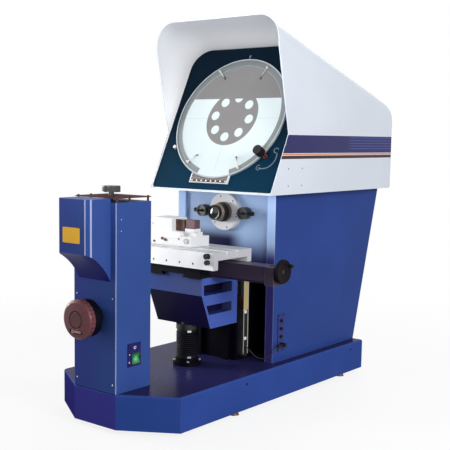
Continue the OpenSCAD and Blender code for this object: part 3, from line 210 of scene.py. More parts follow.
def revolved(profile, centre, axis, count=48, closed=False):
    """Turns a profile of (radius, height) about an axis: centre + radius (cos a u + sin a v) + height w.
    A radius of zero at either end is a pole with a fan of triangles; a closed profile makes a ring."""
    profile = np.asarray(profile, float)
    u, v, w = axes_for(axis)
    a = np.linspace(0, 2 * math.pi, count, endpoint=False)
    ring = np.cos(a)[:, None] * u + np.sin(a)[:, None] * v
    body = profile[profile[:, 0] > 1e-9]
    points = centre + body[:, 0, None, None] * ring[None] + body[:, 1, None, None] * w
    points = points.reshape(-1, 3)
    faces = grid_faces(len(body), count, wrap_rows=closed)
    last = (len(body) - 1) * count
    j = np.arange(count)
    on = (j + 1) % count
    if profile[0, 0] <= 1e-9:
        points = np.vstack([points, centre + profile[0, 1] * w])
        faces += [(len(points) - 1, end, start) for start, end in zip(j, on)]
    if profile[-1, 0] <= 1e-9:
        points = np.vstack([points, centre + profile[-1, 1] * w])
        faces += [(len(points) - 1, last + start, last + end) for start, end in zip(j, on)]
    return points, faces


def swept_tube(path, radius, sides=12):
    """A round tube: at each path point a circle square to the path's direction there, with flat ends."""
    path = np.asarray(path, float)
    along = np.gradient(path, axis=0)
    along /= np.linalg.norm(along, axis=1)[:, None]
    u = np.cross(along, np.array([0.0, 0.3, 1.0]))
    u /= np.linalg.norm(u, axis=1)[:, None]
    v = np.cross(along, u)
    a = np.linspace(0, 2 * math.pi, sides, endpoint=False)
    circle = np.cos(a)[None, :, None] * u[:, None] + np.sin(a)[None, :, None] * v[:, None]
    points = path[:, None] + radius * circle
    n = len(path)
    faces = grid_faces(n, sides)
    faces += [tuple(range(sides - 1, -1, -1)), tuple(range((n - 1) * sides, n * sides))]
    return points.reshape(-1, 3), faces


def rounded_outline(w, h, r, steps=6):
    """Corners of a w by h rectangle, each replaced by a quarter circle of radius r, anticlockwise."""
    a = np.linspace(0, math.pi / 2, steps)
    arc = r * np.stack([np.cos(a), np.sin(a)], axis=1)
    turn = np.array([[0.0, -1.0], [1.0, 0.0]])
    out = []
    for k, (sx, sy) in enumerate([(1, 1), (-1, 1), (-1, -1), (1, -1)]):
        centre = np.array([sx * (w / 2 - r), sy * (h / 2 - r)])
        out.append(centre + arc @ np.linalg.matrix_power(turn, k).T)
    return np.vstack(out)


def on_plane(flat, origin, x_axis, y_axis, height):
    """Flat points as origin + x times one axis + y times the other + height times their cross product."""
    x_axis, y_axis = np.asarray(x_axis, float), np.asarray(y_axis, float)
    lift = height * np.cross(x_axis, y_axis)
    return np.asarray(origin) + flat[:, :1] * x_axis + flat[:, 1:] * y_axis + lift


def slab(outline, origin, x_axis, y_axis, z0, z1, edge=0.0):
    """A plate: a flat outline carried from height z0 to z1 along x cross y, with a bevelled upper edge."""
    middle = outline.mean(axis=0)
    shrink = 1 - edge / np.abs(outline - middle).max()
    rows = [(outline, z0), (outline, z1 - edge), (middle + (outline - middle) * shrink, z1)]
    points = np.vstack([on_plane(flat, origin, x_axis, y_axis, z) for flat, z in rows])
    n = len(outline)
    faces = grid_faces(3, n)
    faces += [tuple(range(n - 1, -1, -1)), tuple(range(2 * n, 3 * n))]
    return points, faces


def ribbon(centre, r, a0, a1, width, origin, x_axis, y_axis, height, steps=32):
    """A flat arc of a ring: radius r - width/2 to r + width/2 between two angles, at one height."""
    a = np.radians(np.linspace(a0, a1, steps))
    ring = np.stack([np.cos(a), np.sin(a)], axis=1)
    flat = np.concatenate([centre + (r - width / 2) * ring, centre + (r + width / 2) * ring])
    faces = [q[::-1] for q in grid_faces(2, steps, wrap_cols=False)]
    return on_plane(flat, origin, x_axis, y_axis, height), faces


def screw_head(place, axis, r):
    """A socket-head screw: a chamfered cap with a recess in its face, turned about its axis."""
    h = 0.7 * r
    profile = [(0, 0), (r, 0), (r, h * 0.8), (r * 0.86, h), (r * 0.52, h), (r * 0.5, h * 0.4), (0, h * 0.35)]
    return revolved(profile, np.asarray(place, float), axis, 20)


def joined(parts):
    """Several (points, faces) pairs as one pair."""
    points, faces, start = [], [], 0
    for part_points, part_faces in parts:
        points.append(part_points)
        faces += [tuple(np.asarray(corners) + start) for corners in part_faces]
        start += len(part_points)
    return np.vstack(points), faces


def middle_of(name):
    """Middle of a node's box."""
    return np.mean(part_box(name), axis=0)


# Shader expressions

def maths(operation, reflected=False):
    """A method that puts a field and another value through one Math node, in reverse order when reflected."""
    def method(self, other):
        pair = (other, self) if reflected else (self, other)
        return self.nodes.node("ShaderNodeMath", {"operation": operation}, dict(enumerate(pair)))
    return method


class Field:
    """A number or colour that varies over a surface; operators on it add Math nodes."""

    __add__ = __radd__ = maths("ADD")
    __sub__ = maths("SUBTRACT")
    __rsub__ = maths("SUBTRACT", reflected=True)
    __mul__ = __rmul__ = maths("MULTIPLY")
    __truediv__ = maths("DIVIDE")
    __rtruediv__ = maths("DIVIDE", reflected=True)
    __lt__ = maths("LESS_THAN")
    __gt__ = maths("GREATER_THAN")
    either = maths("MAXIMUM")

    def __init__(self, nodes, socket):
        self.nodes = nodes
        self.socket = socket

    def math(self, operation, *others):
        """One Math node on this field and any others."""
        return self.nodes.node("ShaderNodeMath", {"operation": operation}, dict(enumerate((self, *others))))

    def __abs__(self):
        return self.math("ABSOLUTE")

    def wrap(self, pitch):
        """The remainder after whole steps of the pitch."""
        return self.math("WRAP", pitch, 0.0)

    def between(self, lo, hi):
        """One where the value lies between two limits, else zero."""
        return (self > lo) * (self < hi)

    def step(self, lo, hi):
        """A smooth rise from zero at lo to one at hi."""
        return self.nodes.node("ShaderNodeMapRange", {"interpolation_type": "SMOOTHSTEP"},
                               {"Value": self, "From Min": lo, "From Max": hi})


class Nodes:
    """A node tree that expressions add to."""

    def __init__(self, tree):
        self.tree = tree
        tree.nodes.clear()

    def node(self, kind, settings=None, inputs=None, output=0):
        """Adds one node: its settings first, then values or links for its sockets."""
        added = self.tree.nodes.new(kind)
        for key, value in (settings or {}).items():
            setattr(added, key, value)
        for key, value in (inputs or {}).items():
            if isinstance(value, Field):
                self.tree.links.new(value.socket, added.inputs[key])
            else:
                added.inputs[key].default_value = value
        return Field(self, added.outputs[output])

    def seen(self):
        """One on the rays by which the camera sees a thing: straight, mirrored or through glass."""
        ray = self.node("ShaderNodeLightPath", output="Is Camera Ray")
        for kind in ("Is Glossy Ray", "Is Transmission Ray"):
            ray = ray.either(self.node("ShaderNodeLightPath", output=kind))
        return ray

    def ends(self, kind, shader):
        """Leads a shader to the tree's output node."""
        out = self.tree.nodes.new(kind)
        self.tree.links.new(shader.socket, out.inputs["Surface"])


class Finish(Nodes):
    """A material whose nodes are added by expressions."""

    def __init__(self, name):
        self.material = bpy.data.materials.new(name)
        self.material.use_nodes = True
        super().__init__(self.material.node_tree)
        self.place = self.node("ShaderNodeTexCoord", output="Object")
        self.tone = None

    def position(self):
        """The object's own x, y and z in metres."""
        parts = self.node("ShaderNodeSeparateXYZ", None, {0: self.place})
        return [Field(self, out) for out in parts.socket.node.outputs]

    def dot(self, a, b):
        """Dot product of two vectors."""
        return self.node("ShaderNodeVectorMath", {"operation": "DOT_PRODUCT"}, {0: a, 1: b}, output="Value")

    def offset(self, centre):
        """The vector from a centre to the surface."""
        return self.node("ShaderNodeVectorMath", {"operation": "SUBTRACT"}, {0: self.place, 1: centre})

    def screen_place(self):
        """Distances across and up the screen from its centre, in metres."""
        from_centre = self.offset(SCREEN)
        return self.dot(from_centre, SCREEN_X), self.dot(from_centre, SCREEN_UP)

    def screen_height(self):
        """Distance out from the screen's plane, in metres."""
        return self.dot(self.offset(SCREEN), SCREEN_OUT)

    def facing(self, axis):
        """How far a flat face looks along an axis: one when it looks straight along it, zero when edge on."""
        return self.dot(self.node("ShaderNodeNewGeometry", output="True Normal"), axis)

    def edges(self, radius):
        """One along sharp edges and zero on flat faces: how far a normal rounded over the radius turns."""
        rounded = self.node("ShaderNodeBevel", {"samples": 6}, {"Radius": radius})
        return self.facing(rounded).step(0.99, 0.88)

    def noise(self, scale, detail=2.0, stretch=(1, 1, 1)):
        """Cloudy noise between zero and one, drawn out along an axis by the stretch."""
        moved = self.node("ShaderNodeMapping", None, {"Vector": self.place, "Scale": stretch})
        return self.node("ShaderNodeTexNoise", None, {"Vector": moved, "Scale": scale, "Detail": detail})

    def cells(self, scale):
        """Distance to the nearest of scattered points."""
        return self.node("ShaderNodeTexVoronoi", None, {"Vector": self.place, "Scale": scale})

    def mix(self, factor, a, b):
        """Colour a where the factor is zero, b where it is one."""
        a, b = ((*c, 1.0) if isinstance(c, tuple) else c for c in (a, b))
        return self.node("ShaderNodeMix", {"data_type": "RGBA"}, {0: factor, 6: a, 7: b}, output=2)

    def vary(self, factor, colour, least, most):
        """A colour times least where the factor is zero and times most where it is one."""
        return self.mix(factor, shade(colour, least), shade(colour, most))

    def lay(self, factor, colour):
        """Lays a colour over the tone so far, where the factor is one."""
        self.tone = self.mix(factor, self.tone, colour)

    def bump(self, height, depth):
        """A normal tilted by a height field of the given depth in metres."""
        return self.node("ShaderNodeBump", None, {"Height": height, "Distance": depth})

    def surface(self, **values):
        """A Principled shader; keys use underscores for spaces."""
        inputs = {key.replace("_", " "): value for key, value in values.items()}
        return self.node("ShaderNodeBsdfPrincipled", None, inputs)

    def done(self, **values):
        """Ends in a Principled shader of the tone so far and gives the material."""
        self.ends("ShaderNodeOutputMaterial", self.surface(Base_Color=self.tone, **values))
        return self.material


def distance(a, b):
    """Length of a step whose two parts are a and b."""
    return (a * a + b * b).math("SQRT")


def shade(colour, k):
    """A colour made darker or lighter by a factor."""
    return tuple(min(1.0, c * k) for c in colour)


# Finishes

def clouded(f, colour):
    """Starts a paint whose colour varies faintly with clouds, and gives the cloud field."""
    cloud = f.noise(5, 3)
    f.tone = f.vary(cloud.step(0.35, 0.7), colour, 0.93, 1.06)
    return cloud


def edge_highlight(f, cloud, pale, radius=0.0015):
    """Lays a painted highlight in a paler colour along sharp edges, in patches that follow the clouds."""
    f.lay(f.edges(radius) * (0.7 + 0.3 * cloud), pale)


def sprayed(f, cloud, rough, sheen):
    """Ends a paint with an orange-peel bump and a roughness that follows the clouds."""
    return f.done(Roughness=rough + 0.12 * (cloud - 0.5), Specular_IOR_Level=sheen,
                  Normal=f.bump(f.noise(420, 2), 0.00006))


def painted(name, colour, rough=0.38, coat=0.0, peel=0.00006, scale=420, sheen=0.22, pale=None):
    """Sprayed paint: an orange-peel bump, faint clouds, dust in specks, and painted highlights along the
    edges when a pale colour is given.
    """
    f = Finish(name)
    cloud = clouded(f, colour)
    speck = f.noise(2600, 1)
    f.lay(speck.step(0.62, 0.75) * 0.12, shade(colour, 1.35))
    if pale:
        edge_highlight(f, cloud, pale, 0.0012)
    return f.done(Roughness=rough + 0.14 * (cloud - 0.5) + 0.05 * (speck - 0.5),
                  Coat_Weight=coat, Coat_Roughness=0.18, Specular_IOR_Level=sheen,
                  Normal=f.bump(f.noise(scale, 2), peel))


def brushed(name, colour, rough=0.3, scale=900, metallic=1.0):
    """Ground or turned metal: fine lines with cloudy stains."""
    f = Finish(name)
    lines, stain = f.noise(scale, 3), f.noise(24, 3)
    f.tone = f.vary(lines, colour, 0.86, 1.08)
    f.lay(stain.step(0.55, 0.8) * 0.25, shade(colour, 0.7))
    return f.done(Metallic=metallic, Roughness=rough + 0.16 * (lines - 0.5) + 0.08 * stain,
                  Normal=f.bump(lines, 0.00003))


def moulded(name, colour, rough=0.5, grain=1400, depth=0.00005, gloss=0.5):
    """Moulded plastic or rubber: a fine pebble grain with shinier patches where it is rubbed."""
    f = Finish(name)
    pebble, patch = f.cells(grain), f.noise(30, 3)
    f.tone = f.mix(patch.step(0.4, 0.75), colour, shade(colour, 1.5))
    return f.done(Roughness=rough - 0.15 * patch.step(0.5, 0.8) + 0.06 * pebble,
                  Specular_IOR_Level=gloss, Normal=f.bump(pebble, depth))


def lens_glass_finish(tint):
    """Coated lens glass: a tinted, glossy, partly clear skin with faint dust."""
    f = Finish("coated_lens")
    dust, cloud = f.noise(900, 2), f.noise(40, 2)
    f.tone = f.mix(cloud, shade(tint, 0.8), tint)
    return f.done(Roughness=0.03 + 0.06 * dust.step(0.6, 0.8), Metallic=0.1,
                  Alpha=0.8 + 0.1 * dust.step(0.55, 0.8), Coat_Weight=1.0, Coat_Roughness=0.02)


def tower_finish(blue):
    """Blue paint with painted highlights in pale lines down the tower's upright edges, where the distance to
    an edge is small.
    The front has a violet painted shade that grows towards the left, and the underside of the overhang has a
    deeper painted shade."""
    f = Finish("tower_blue_paint")
    x, y, _ = f.position()
    cloud = clouded(f, blue)
    # Painted highlights down the upright edges
    for edge_x, edge_y, width in TOWER_EDGES:
        line = distance(abs(x) - edge_x, y - edge_y).step(width, 0.6 * width)
        f.lay(line * (0.6 + 0.4 * cloud), (0.5, 0.54, 0.8))
    # A violet painted shade on the front, growing towards the left
    front = f.facing(AHEAD).step(0.9, 0.99) * x.step(TOWER_SIDE, -TOWER_SIDE)
    f.lay(front * 0.8, (0.036, 0.055, 0.28))
    # A deeper painted shade under the overhang
    under = f.mix(cloud, (0.006, 0.009, 0.17), (0.009, 0.012, 0.2))
    f.lay(f.facing(DOWN).step(0.02, 0.4), under)
    return sprayed(f, cloud, 0.4, 0.06)


def base_finish(blue, violet):
    """Blue paint with a violet painted shade on the front and a deeper painted shade on the slanted face left
    of it, with a smoother, darker violet top that is painted shade too, and painted highlights along the
    edges."""
    f = Finish("base_blue_paint")
    top = f.position()[2].step(BASE_TOP - 0.0004, BASE_TOP - 0.0001)
    cloud = clouded(f, blue)
    # A violet painted shade on the faces that look ahead
    f.lay(f.facing(AHEAD).step(0.94, 0.98), (0.05, 0.05, 0.32))
    # A deeper painted shade on the slanted face left of the front
    slant = f.facing(LEFT_SLANT).step(0.8, 0.9)
    f.lay(slant, (0.024, 0.02, 0.19))
    # Painted shade on the top, in darker violet
    f.lay(top, f.vary(cloud, violet, 0.85, 1.15))
    edge_highlight(f, cloud, (0.13, 0.17, 0.42))
    return f.done(Roughness=0.42 - 0.16 * top + 0.5 * slant + 0.1 * (cloud - 0.5),
                  Specular_IOR_Level=0.025, Normal=f.bump(f.noise(420, 2), 0.00004))


def column_finish(blue, front):
    """Blue paint on the column's cover; its front border has painted light above the table and dark violet
    painted shade below, with painted highlights in pale lines along both edges of the border and along the
    cover's other edges."""
    f = Finish("column_paint")
    x, y, z = f.position()
    low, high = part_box("column_cover")
    cloud = clouded(f, blue)
    # Painted light on the front border above the table, painted shade below it
    upper = z.step(*BORDER_FADE)
    border = (y < low[1] + BORDER_DEPTH) * (abs(x) < high[0] - 0.0004)
    f.lay(border, f.mix(upper, (0.045, 0.038, 0.19), shade(front, 1.3)))
    # Painted highlights along both edges of the border
    line = (abs(x) > high[0] - BORDER_LINE).either(abs(x) < high[0] - BORDER_WIDTH)
    line = line * (y < low[1] + 0.001)
    f.lay(line * 0.75, f.mix(upper, (0.16, 0.17, 0.4), (0.62, 0.72, 0.88)))
    # Painted highlights along the cover's other edges
    f.lay(f.edges(0.0015) * (1 - border) * 0.6, (0.13, 0.19, 0.45))
    return sprayed(f, cloud, 0.4, 0.05)


def front_finish(front):
    """Glossy pale blue that falls to a deep violet painted shade behind the table, with a darker painted
    shadow that begins higher to the left of the lens.
    """
    f = Finish("front_frame_gloss")
    x, _, z = f.position()
    cloud = f.noise(7, 3)
    pale = f.vary(cloud, front, 0.94, 1.08)
    # Painted shade below the table
    f.tone = f.mix(z.step(*FRONT_FADE), (0.035, 0.035, 0.17), pale)
    # A darker painted shadow left of the lens
    f.lay(x.step(*SHADE_ACROSS) * z.step(*SHADE_DOWN), (0.006, 0.006, 0.045))
    return f.done(Roughness=0.24 + 0.06 * cloud, Specular_IOR_Level=0.16,
                  Normal=f.bump(f.noise(500, 2), 0.00002))


def knee_finish(blue):
    """Blue paint with painted light on the outer side faces, a paler painted reflection on the upright front,
    deep violet painted shade on the slope below it and in the side pockets, and painted highlights along the
    edges. A pocket's floor looks along x but lies inside the side face."""
    f = Finish("knee_blue_paint")
    x = f.position()[0]
    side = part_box("knee")[1][0] - 0.001
    cloud = clouded(f, blue)
    across = abs(f.facing(RIGHT)).step(0.9, 0.97)
    rightward = x.step(-side, side)
    # Painted light on the outer side faces
    f.lay(across * (abs(x) > side), (0.064, 0.112, 0.43))
    # A painted reflection on the upright front, stronger to the right
    front = f.facing(AHEAD).step(0.985, 0.995)
    f.lay(front * (0.5 + 0.5 * rightward), (0.062, 0.085, 0.23))
    edge_highlight(f, cloud, (0.13, 0.19, 0.45))
    # Painted shade on faces that look down and in the side pockets
    deep = f.facing(DOWN).step(0.08, 0.2).either(across * (abs(x) < side))
    f.lay(deep, f.mix(rightward, (0.005, 0.004, 0.024), (0.009, 0.007, 0.045)))
    return sprayed(f, cloud, 0.36, 0.06)


def wheel_finish(mauve):
    """Mauve anodised handwheel with a dark groove round a plain middle disc, and a dark pit at each end of
    its folded crank. Radii are measured from the wheel's axis."""
    f = Finish("wheel_anodised")
    x, y, z = f.position()
    low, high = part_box("lift_wheel")
    crank_low, crank_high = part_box("lift_crank")
    axis, crank = middle_of("lift_wheel"), middle_of("lift_crank")
    radius = distance(x - axis[0], z - axis[2])
    lines, stain = f.noise(900, 3), f.noise(60, 3)
    f.tone = f.vary(lines, mauve, 0.86, 1.12)
    f.lay(stain.step(0.5, 0.8) * 0.35, shade(mauve, 0.65))
    face = y < low[1] + WHEEL_FACE
    disc = WHEEL_DISC * (high[0] - low[0]) / 2
    f.lay(face * radius.step(disc, disc - 0.001) * 0.6, shade(mauve, 0.7))
    f.lay(face * abs(radius - disc).step(0.0021, 0.0009), shade(mauve, 0.2))
    for end in (crank_low[0] - 0.001, crank_high[0] + 0.002):
        px, pz = (x - end) / 0.0045, (z - crank[2]) / 0.006
        f.lay(face * (px * px + pz * pz).step(1.1, 0.7), (0.008, 0.003, 0.004))
    return f.done(Metallic=0.2, Roughness=0.36 + 0.14 * (lines - 0.5) + 0.06 * stain,
                  Specular_IOR_Level=0.25, Normal=f.bump(lines, 0.00003))


def rocker_finish():
    """Green clear plastic that lightens towards the middle of the rocker, where the lamp behind it shows."""
    f = Finish("rocker_green")
    _, y, z = f.position()
    middle = middle_of("power_rocker")
    away = distance((y - middle[1]) / ROCKER_GLOW[0], (z - middle[2]) / ROCKER_GLOW[1])
    f.tone = f.mix(away.step(1.0, 0.1), (0.008, 0.2, 0.06), (0.16, 0.62, 0.3))
    return f.done(Roughness=0.22 + 0.06 * f.noise(1200, 2), Coat_Weight=0.4,
                  Coat_Roughness=0.15, Specular_IOR_Level=0.3)


def connector_finish(blue):
    """Blue plate with black sockets and a plug that stand out past its face, and a black inlet behind."""
    f = Finish("connector_paint")
    x, y, _ = f.position()
    clouded(f, blue)
    black = (x > PLATE_FACE + 0.0003).either(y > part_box("base")[1][1])
    f.lay(black, (0.008, 0.008, 0.009))
    grain = f.noise(900, 2)
    return f.done(Roughness=0.4 + 0.1 * (grain - 0.5), Specular_IOR_Level=0.1,
                  Normal=f.bump(grain, 0.00003))


def lens_finish():
    """Black barrel with thin bare rings where it steps, and close turned lines on its wide part."""
    f = Finish("lens_barrel_black")
    along = f.position()[1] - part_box("lens_barrel")[0][1]
    brush = f.noise(500, 3, (1, 0.05, 1))
    f.tone = f.mix(brush, (0.006, 0.006, 0.007), (0.02, 0.018, 0.018))
    f.lay(along.between(*LENS_WIDE), (0.05, 0.026, 0.024))
    turned = abs(along.wrap(LENS_PITCH) - LENS_PITCH / 2) > 0.0009
    bare = turned * along.between(*LENS_TURNED) * 0.7
    for start in LENS_RINGS:
        bare = bare.either(along.between(start, start + LENS_RING_WIDTH))
    f.lay(bare, (0.34, 0.28, 0.23))
    return f.done(Metallic=0.5, Roughness=0.28 + 0.12 * brush, Normal=f.bump(brush, 0.00002))


def jaw_finish(name, body, mauve, brown, brown_from, brown_to, ledge):
    """Pale enamel with coloured jaw faces above a ledge: brown between two places along x, else mauve."""
    f = Finish(name)
    x, _, z = f.position()
    cloud, grit = f.noise(60, 3), f.noise(900, 2)
    f.tone = f.vary(cloud, body, 0.95, 1.02)
    stained = f.mix(cloud.step(0.4, 0.65), brown, shade(brown, 0.35))
    clean = f.vary(cloud, mauve, 0.85, 1.15)
    plate = f.mix(x.between(brown_from, brown_to), clean, stained)
    f.lay(z.between(ledge, ledge + JAW_FACE) * (x > brown_from), plate)
    return f.done(Roughness=0.42 + 0.12 * (grit - 0.5), Normal=f.bump(grit, 0.00003))


def head_finish(white, navy, orange, maroon):
    """White paint with a navy band and thin stripes along both sides of the head, and painted light inside
    the hood that is whiter towards the screen. A face is inside where it looks towards the hood's middle."""
    f = Finish("head_white_paint")
    x, y, z = f.position()
    cloud = f.noise(4, 3)
    f.tone = f.vary(cloud.step(0.35, 0.7), white, 0.97, 1.02)
    looks_out = f.dot(f.node("ShaderNodeNewGeometry", output="Normal"), f.offset(HOOD_MIDDLE))
    # Painted light inside the hood, whiter towards the screen
    painted_hood_light = f.mix(f.screen_height().step(0.0, HOOD_DEPTH), (0.92, 0.92, 0.94), (0.62, 0.635, 0.675))
    f.lay(looks_out < 0.0, f.mix(cloud * 0.1, painted_hood_light, (0.86, 0.87, 0.88)))
    front = (z - HEAD_FRONT[1]) * HEAD_SLOPE + HEAD_FRONT[0]
    side = (abs(x) > HEAD_SIDE) * (y > front)
    for limits, colour in (((BAND_LOW, BAND_HIGH), navy), (ORANGE_LINE, orange), (MAROON_LINE, maroon)):
        f.lay(side * z.between(*limits), colour)
    stripe = abs((z - BAND_LOW).wrap(STRIPE_PITCH) - STRIPE_PITCH / 2) < 0.0011
    stripe = stripe * side * z.between(BAND_LOW + 0.006, BAND_HIGH - 0.004)
    f.lay(stripe * y.step(*STRIPE_FADE) * 0.8, (0.06, 0.09, 0.36))
    return f.done(Roughness=0.42 + 0.1 * (cloud - 0.5), Specular_IOR_Level=0.3,
                  Normal=f.bump(f.noise(420, 2), 0.00005))


def screen_picture():
    """The shadow of a round flange with a ring of holes under a straight edge, and fine cross lines.
    Distances come from the screen's own centre; a rim is a step in the distance from its middle."""
    f = Finish("ground_glass_picture")
    x, up = f.screen_place()
    grain, cloud = f.noise(2200, 2), f.noise(9, 2)
    dx, dy = x - FLANGE_X, up - FLANGE_UP
    lit = f.mix(cloud, (0.52, 0.6, 0.62), (0.58, 0.65, 0.665))
    dark = f.mix(cloud, (0.155, 0.15, 0.15), (0.185, 0.18, 0.18))
    shadow = distance(dx, dy).step(*FLANGE_RIM)
    for k in range(HOLES):
        a = math.radians(HOLE_TURN + 360 / HOLES * k)
        hole = distance(dx - HOLE_RING * math.cos(a), dy - HOLE_RING * math.sin(a))
        shadow = shadow * hole.step(*HOLE_RIM)
    f.tone = f.mix(shadow.either(up.step(*STRAIGHT_EDGE)), lit, dark)
    line = abs(x).step(*CROSS_LINE).either(abs(up).step(*CROSS_LINE))
    f.lay(line * 0.35, (0.12, 0.12, 0.13))
    f.lay(grain.step(0.35, 0.75) * 0.06, (1.0, 1.0, 1.0))
    return f.done(Roughness=0.5 + 0.1 * grain, Emission_Color=f.tone, Emission_Strength=0.1,
                  Specular_IOR_Level=0.15)


def protractor_band():
    """Grey anodised ring with degree lines: a line shows where the angle, wrapped to a pitch, is near zero.
    The rims are bare, and a pale stretch lies open at the foot."""
    f = Finish("protractor_band")
    x, up = f.screen_place()
    radius = distance(x, up)
    angle = up.math("ARCTAN2", x) * (180 / math.pi) + 360.0
    brush = f.noise(700, 2)
    f.tone = f.mix(brush, (0.16, 0.18, 0.19), (0.22, 0.245, 0.255))
    ticks = []
    for pitch, clear, length in RING_TICKS:
        line = abs(angle.wrap(pitch) - pitch / 2) > clear
        ticks.append(line * radius.between(RING_OUTER - length, RING_OUTER))
    f.lay(ticks[0].either(ticks[1]).either(ticks[2]) * 0.8, (0.05, 0.05, 0.055))
    bare = (radius > RING_OUTER + 0.0001) + (radius < RING_INNER)
    f.lay(bare, (0.42, 0.47, 0.49))
    gap = angle.between(*RING_GAP) * radius.between(0.17, RING_OUTER)
    f.lay(gap, (0.6, 0.68, 0.7))
    return f.done(Metallic=0.35 * (1 - gap), Roughness=0.34 + 0.12 * brush,
                  Normal=f.bump(brush, 0.00002))


def clip_finish():
    """Spring steel by distance from the screen's centre: a pale painted highlight where it is held, painted
    shade towards the tip.
    """
    f = Finish("clip_steel")
    lines = f.noise(900, 3)
    # Painted highlight where the clip is held, painted shade towards its tip
    f.tone = f.mix(distance(*f.screen_place()).step(*CLIP_HELD), (0.1, 0.09, 0.085), (0.66, 0.65, 0.64))
    f.lay(lines * 0.2, (0.3, 0.3, 0.3))
    return f.done(Metallic=0.35, Roughness=0.3 + 0.12 * lines)


def collar_finish():
    """Black knob whose stem is dark red close to the panel, by height above the screen's plane."""
    f = Finish("knob_with_collar")
    grain = f.cells(1800)
    f.tone = f.mix(f.screen_height().step(0.012, 0.009), (0.006, 0.006, 0.007), (0.16, 0.025, 0.015))
    return f.done(Roughness=0.4 + 0.06 * grain, Specular_IOR_Level=0.25,
                  Normal=f.bump(grain, 0.00004))


def panel_finish(navy):
    """Deep navy lacquer that lightens towards the panel's lower edge."""
    f = Finish("navy_gloss_panel")
    up = f.screen_place()[1]
    cloud, fleck = f.noise(12, 3), f.noise(3000, 1)
    f.tone = f.mix(up.step(0.05, -0.23), navy, (0.002, 0.028, 0.06))
    f.lay(cloud.step(0.4, 0.8) * 0.2, shade(navy, 1.8))
    return f.done(Roughness=0.36 + 0.08 * fleck, Specular_IOR_Level=0.03,
                  Normal=f.bump(f.noise(260, 2), 0.00003))


def vernier_finish():
    """Near-black enamel with a row of pale dots and lines between pale borders."""
    f = Finish("vernier_plate")
    x, up = f.screen_place()
    cloud = f.noise(60, 2)
    dx, dy = x - VERNIER_X, up - VERNIER_UP
    dots = distance(dx.wrap(VERNIER_DOTS) - VERNIER_DOTS / 2, dy) < 0.0028
    fine = (abs(dx.wrap(VERNIER_LINES) - VERNIER_LINES / 2) > 0.0017) * (dy > 0.0035)
    border = (abs(dx) > 0.068).either(dy < -0.0045)
    f.tone = f.mix(cloud, (0.014, 0.008, 0.012), (0.05, 0.014, 0.022))
    f.lay(dots.either(fine).either(border), (0.7, 0.72, 0.72))
    return f.done(Roughness=0.35 + 0.1 * cloud, Coat_Weight=0.2, Coat_Roughness=0.2)


def scale_finish():
    """Scale case: a cream upper length, a dark lower length between pale edges, brown on its upper front."""
    f = Finish("linear_scale_case")
    _, y, z = f.position()
    low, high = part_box("vertical_scale")
    lines, cloud = f.noise(800, 3, (1, 1, 0.03)), f.noise(40, 2)
    cream = f.mix(lines, (0.6, 0.46, 0.17), (0.74, 0.61, 0.28))
    slot = f.mix(cloud, (0.012, 0.012, 0.014), (0.04, 0.038, 0.036))
    upper = z.step(SCALE_SPLIT - 0.001, SCALE_SPLIT)
    f.tone = f.mix(upper, slot, cream)
    edge = (y > high[1] - SCALE_EDGE).either(y.between(low[1] + 0.0004, low[1] + SCALE_EDGE))
    f.lay(edge, (0.66, 0.62, 0.5))
    bright = f.mix(cloud, (0.2, 0.07, 0.025), (0.36, 0.15, 0.06))
    brown = f.mix(z.step(*SCALE_BROWN), (0.03, 0.014, 0.01), bright)
    f.lay((y < low[1] + 0.0003) * upper, brown)
    return f.done(Metallic=0.25, Roughness=0.38 + 0.15 * lines,
                  Normal=f.bump(lines, 0.00002))


def table_finish(white):
    """Pale enamelled table: greyer ground lines along its top, duller sawn ends, bright elsewhere."""
    f = Finish("table_enamel")
    x, _, z = f.position()
    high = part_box("table")[1]
    lines, cloud = f.noise(700, 3, (0.02, 1, 1)), f.noise(14, 3)
    top = z.step(high[2] - 0.0008, high[2] - 0.0002)
    f.tone = f.vary(cloud.step(0.35, 0.75), white, 1.05, 1.1)
    f.lay(top, f.vary(lines, white, 0.56, 0.74))
    f.lay((abs(x) > high[0] - 0.0006) * (0.8 + 0.2 * cloud), (0.46, 0.455, 0.5))
    return f.done(Roughness=0.42 - 0.14 * top + 0.12 * (lines - 0.5),
                  Normal=f.bump(lines * top + f.noise(500, 2) * (1 - top), 0.00003))


# Settings

def paint(name, description, default):
    """A colour that a user may change."""
    return bpy.props.FloatVectorProperty(name=name, description=description, subtype="COLOR", size=3,
                                         min=0, max=1, default=default)


class ComparatorColours(bpy.types.PropertyGroup):
    """Paint colours of the instrument."""
    blue: paint("Blue paint", "Paint of the base, column and knee", (0.024, 0.058, 0.255))
    tower_blue: paint("Tower blue paint", "Paint of the lamp tower and its head", (0.036, 0.08, 0.29))
    front_blue: paint("Front frame blue", "Gloss paint of the column's recessed front", (0.345, 0.48, 0.73))
    white: paint("Head white", "Paint of the hooded head", (0.675, 0.725, 0.8))
    table: paint("Table white", "Enamel of the table and vise", (0.86, 0.87, 0.88))
    navy: paint("Panel navy", "Lacquer of the screen panel", (0.0016, 0.007, 0.015))
    wheel: paint("Handwheel mauve", "Anodised face of the lift handwheel", (0.135, 0.043, 0.052))
    jaw: paint("Jaw mauve", "Face of the vise's sliding jaw", (0.105, 0.04, 0.048))


class ComparatorSizes(bpy.types.PropertyGroup):
    """Sizes of the small fittings."""
    lead: bpy.props.FloatProperty(
        name="Lead diameter", description="Diameter of the scale's signal lead", unit="LENGTH",
        min=0.002, max=0.004, default=0.0032)
    cap: bpy.props.FloatProperty(
        name="Screw head radius", description="Radius of the cover screws' heads", unit="LENGTH",
        min=0.002, max=0.006, default=0.0038)
    folds: bpy.props.IntProperty(
        name="Bellows folds", description="Folds of the bellows over the lift screw",
        min=6, max=20, default=12)


def colour(name):
    """A colour as the user has set it."""
    return tuple(getattr(bpy.context.scene.comparator_colours, name))


def sizes():
    """The sizes as the user has set them."""
    return bpy.context.scene.comparator_sizes


# Stage

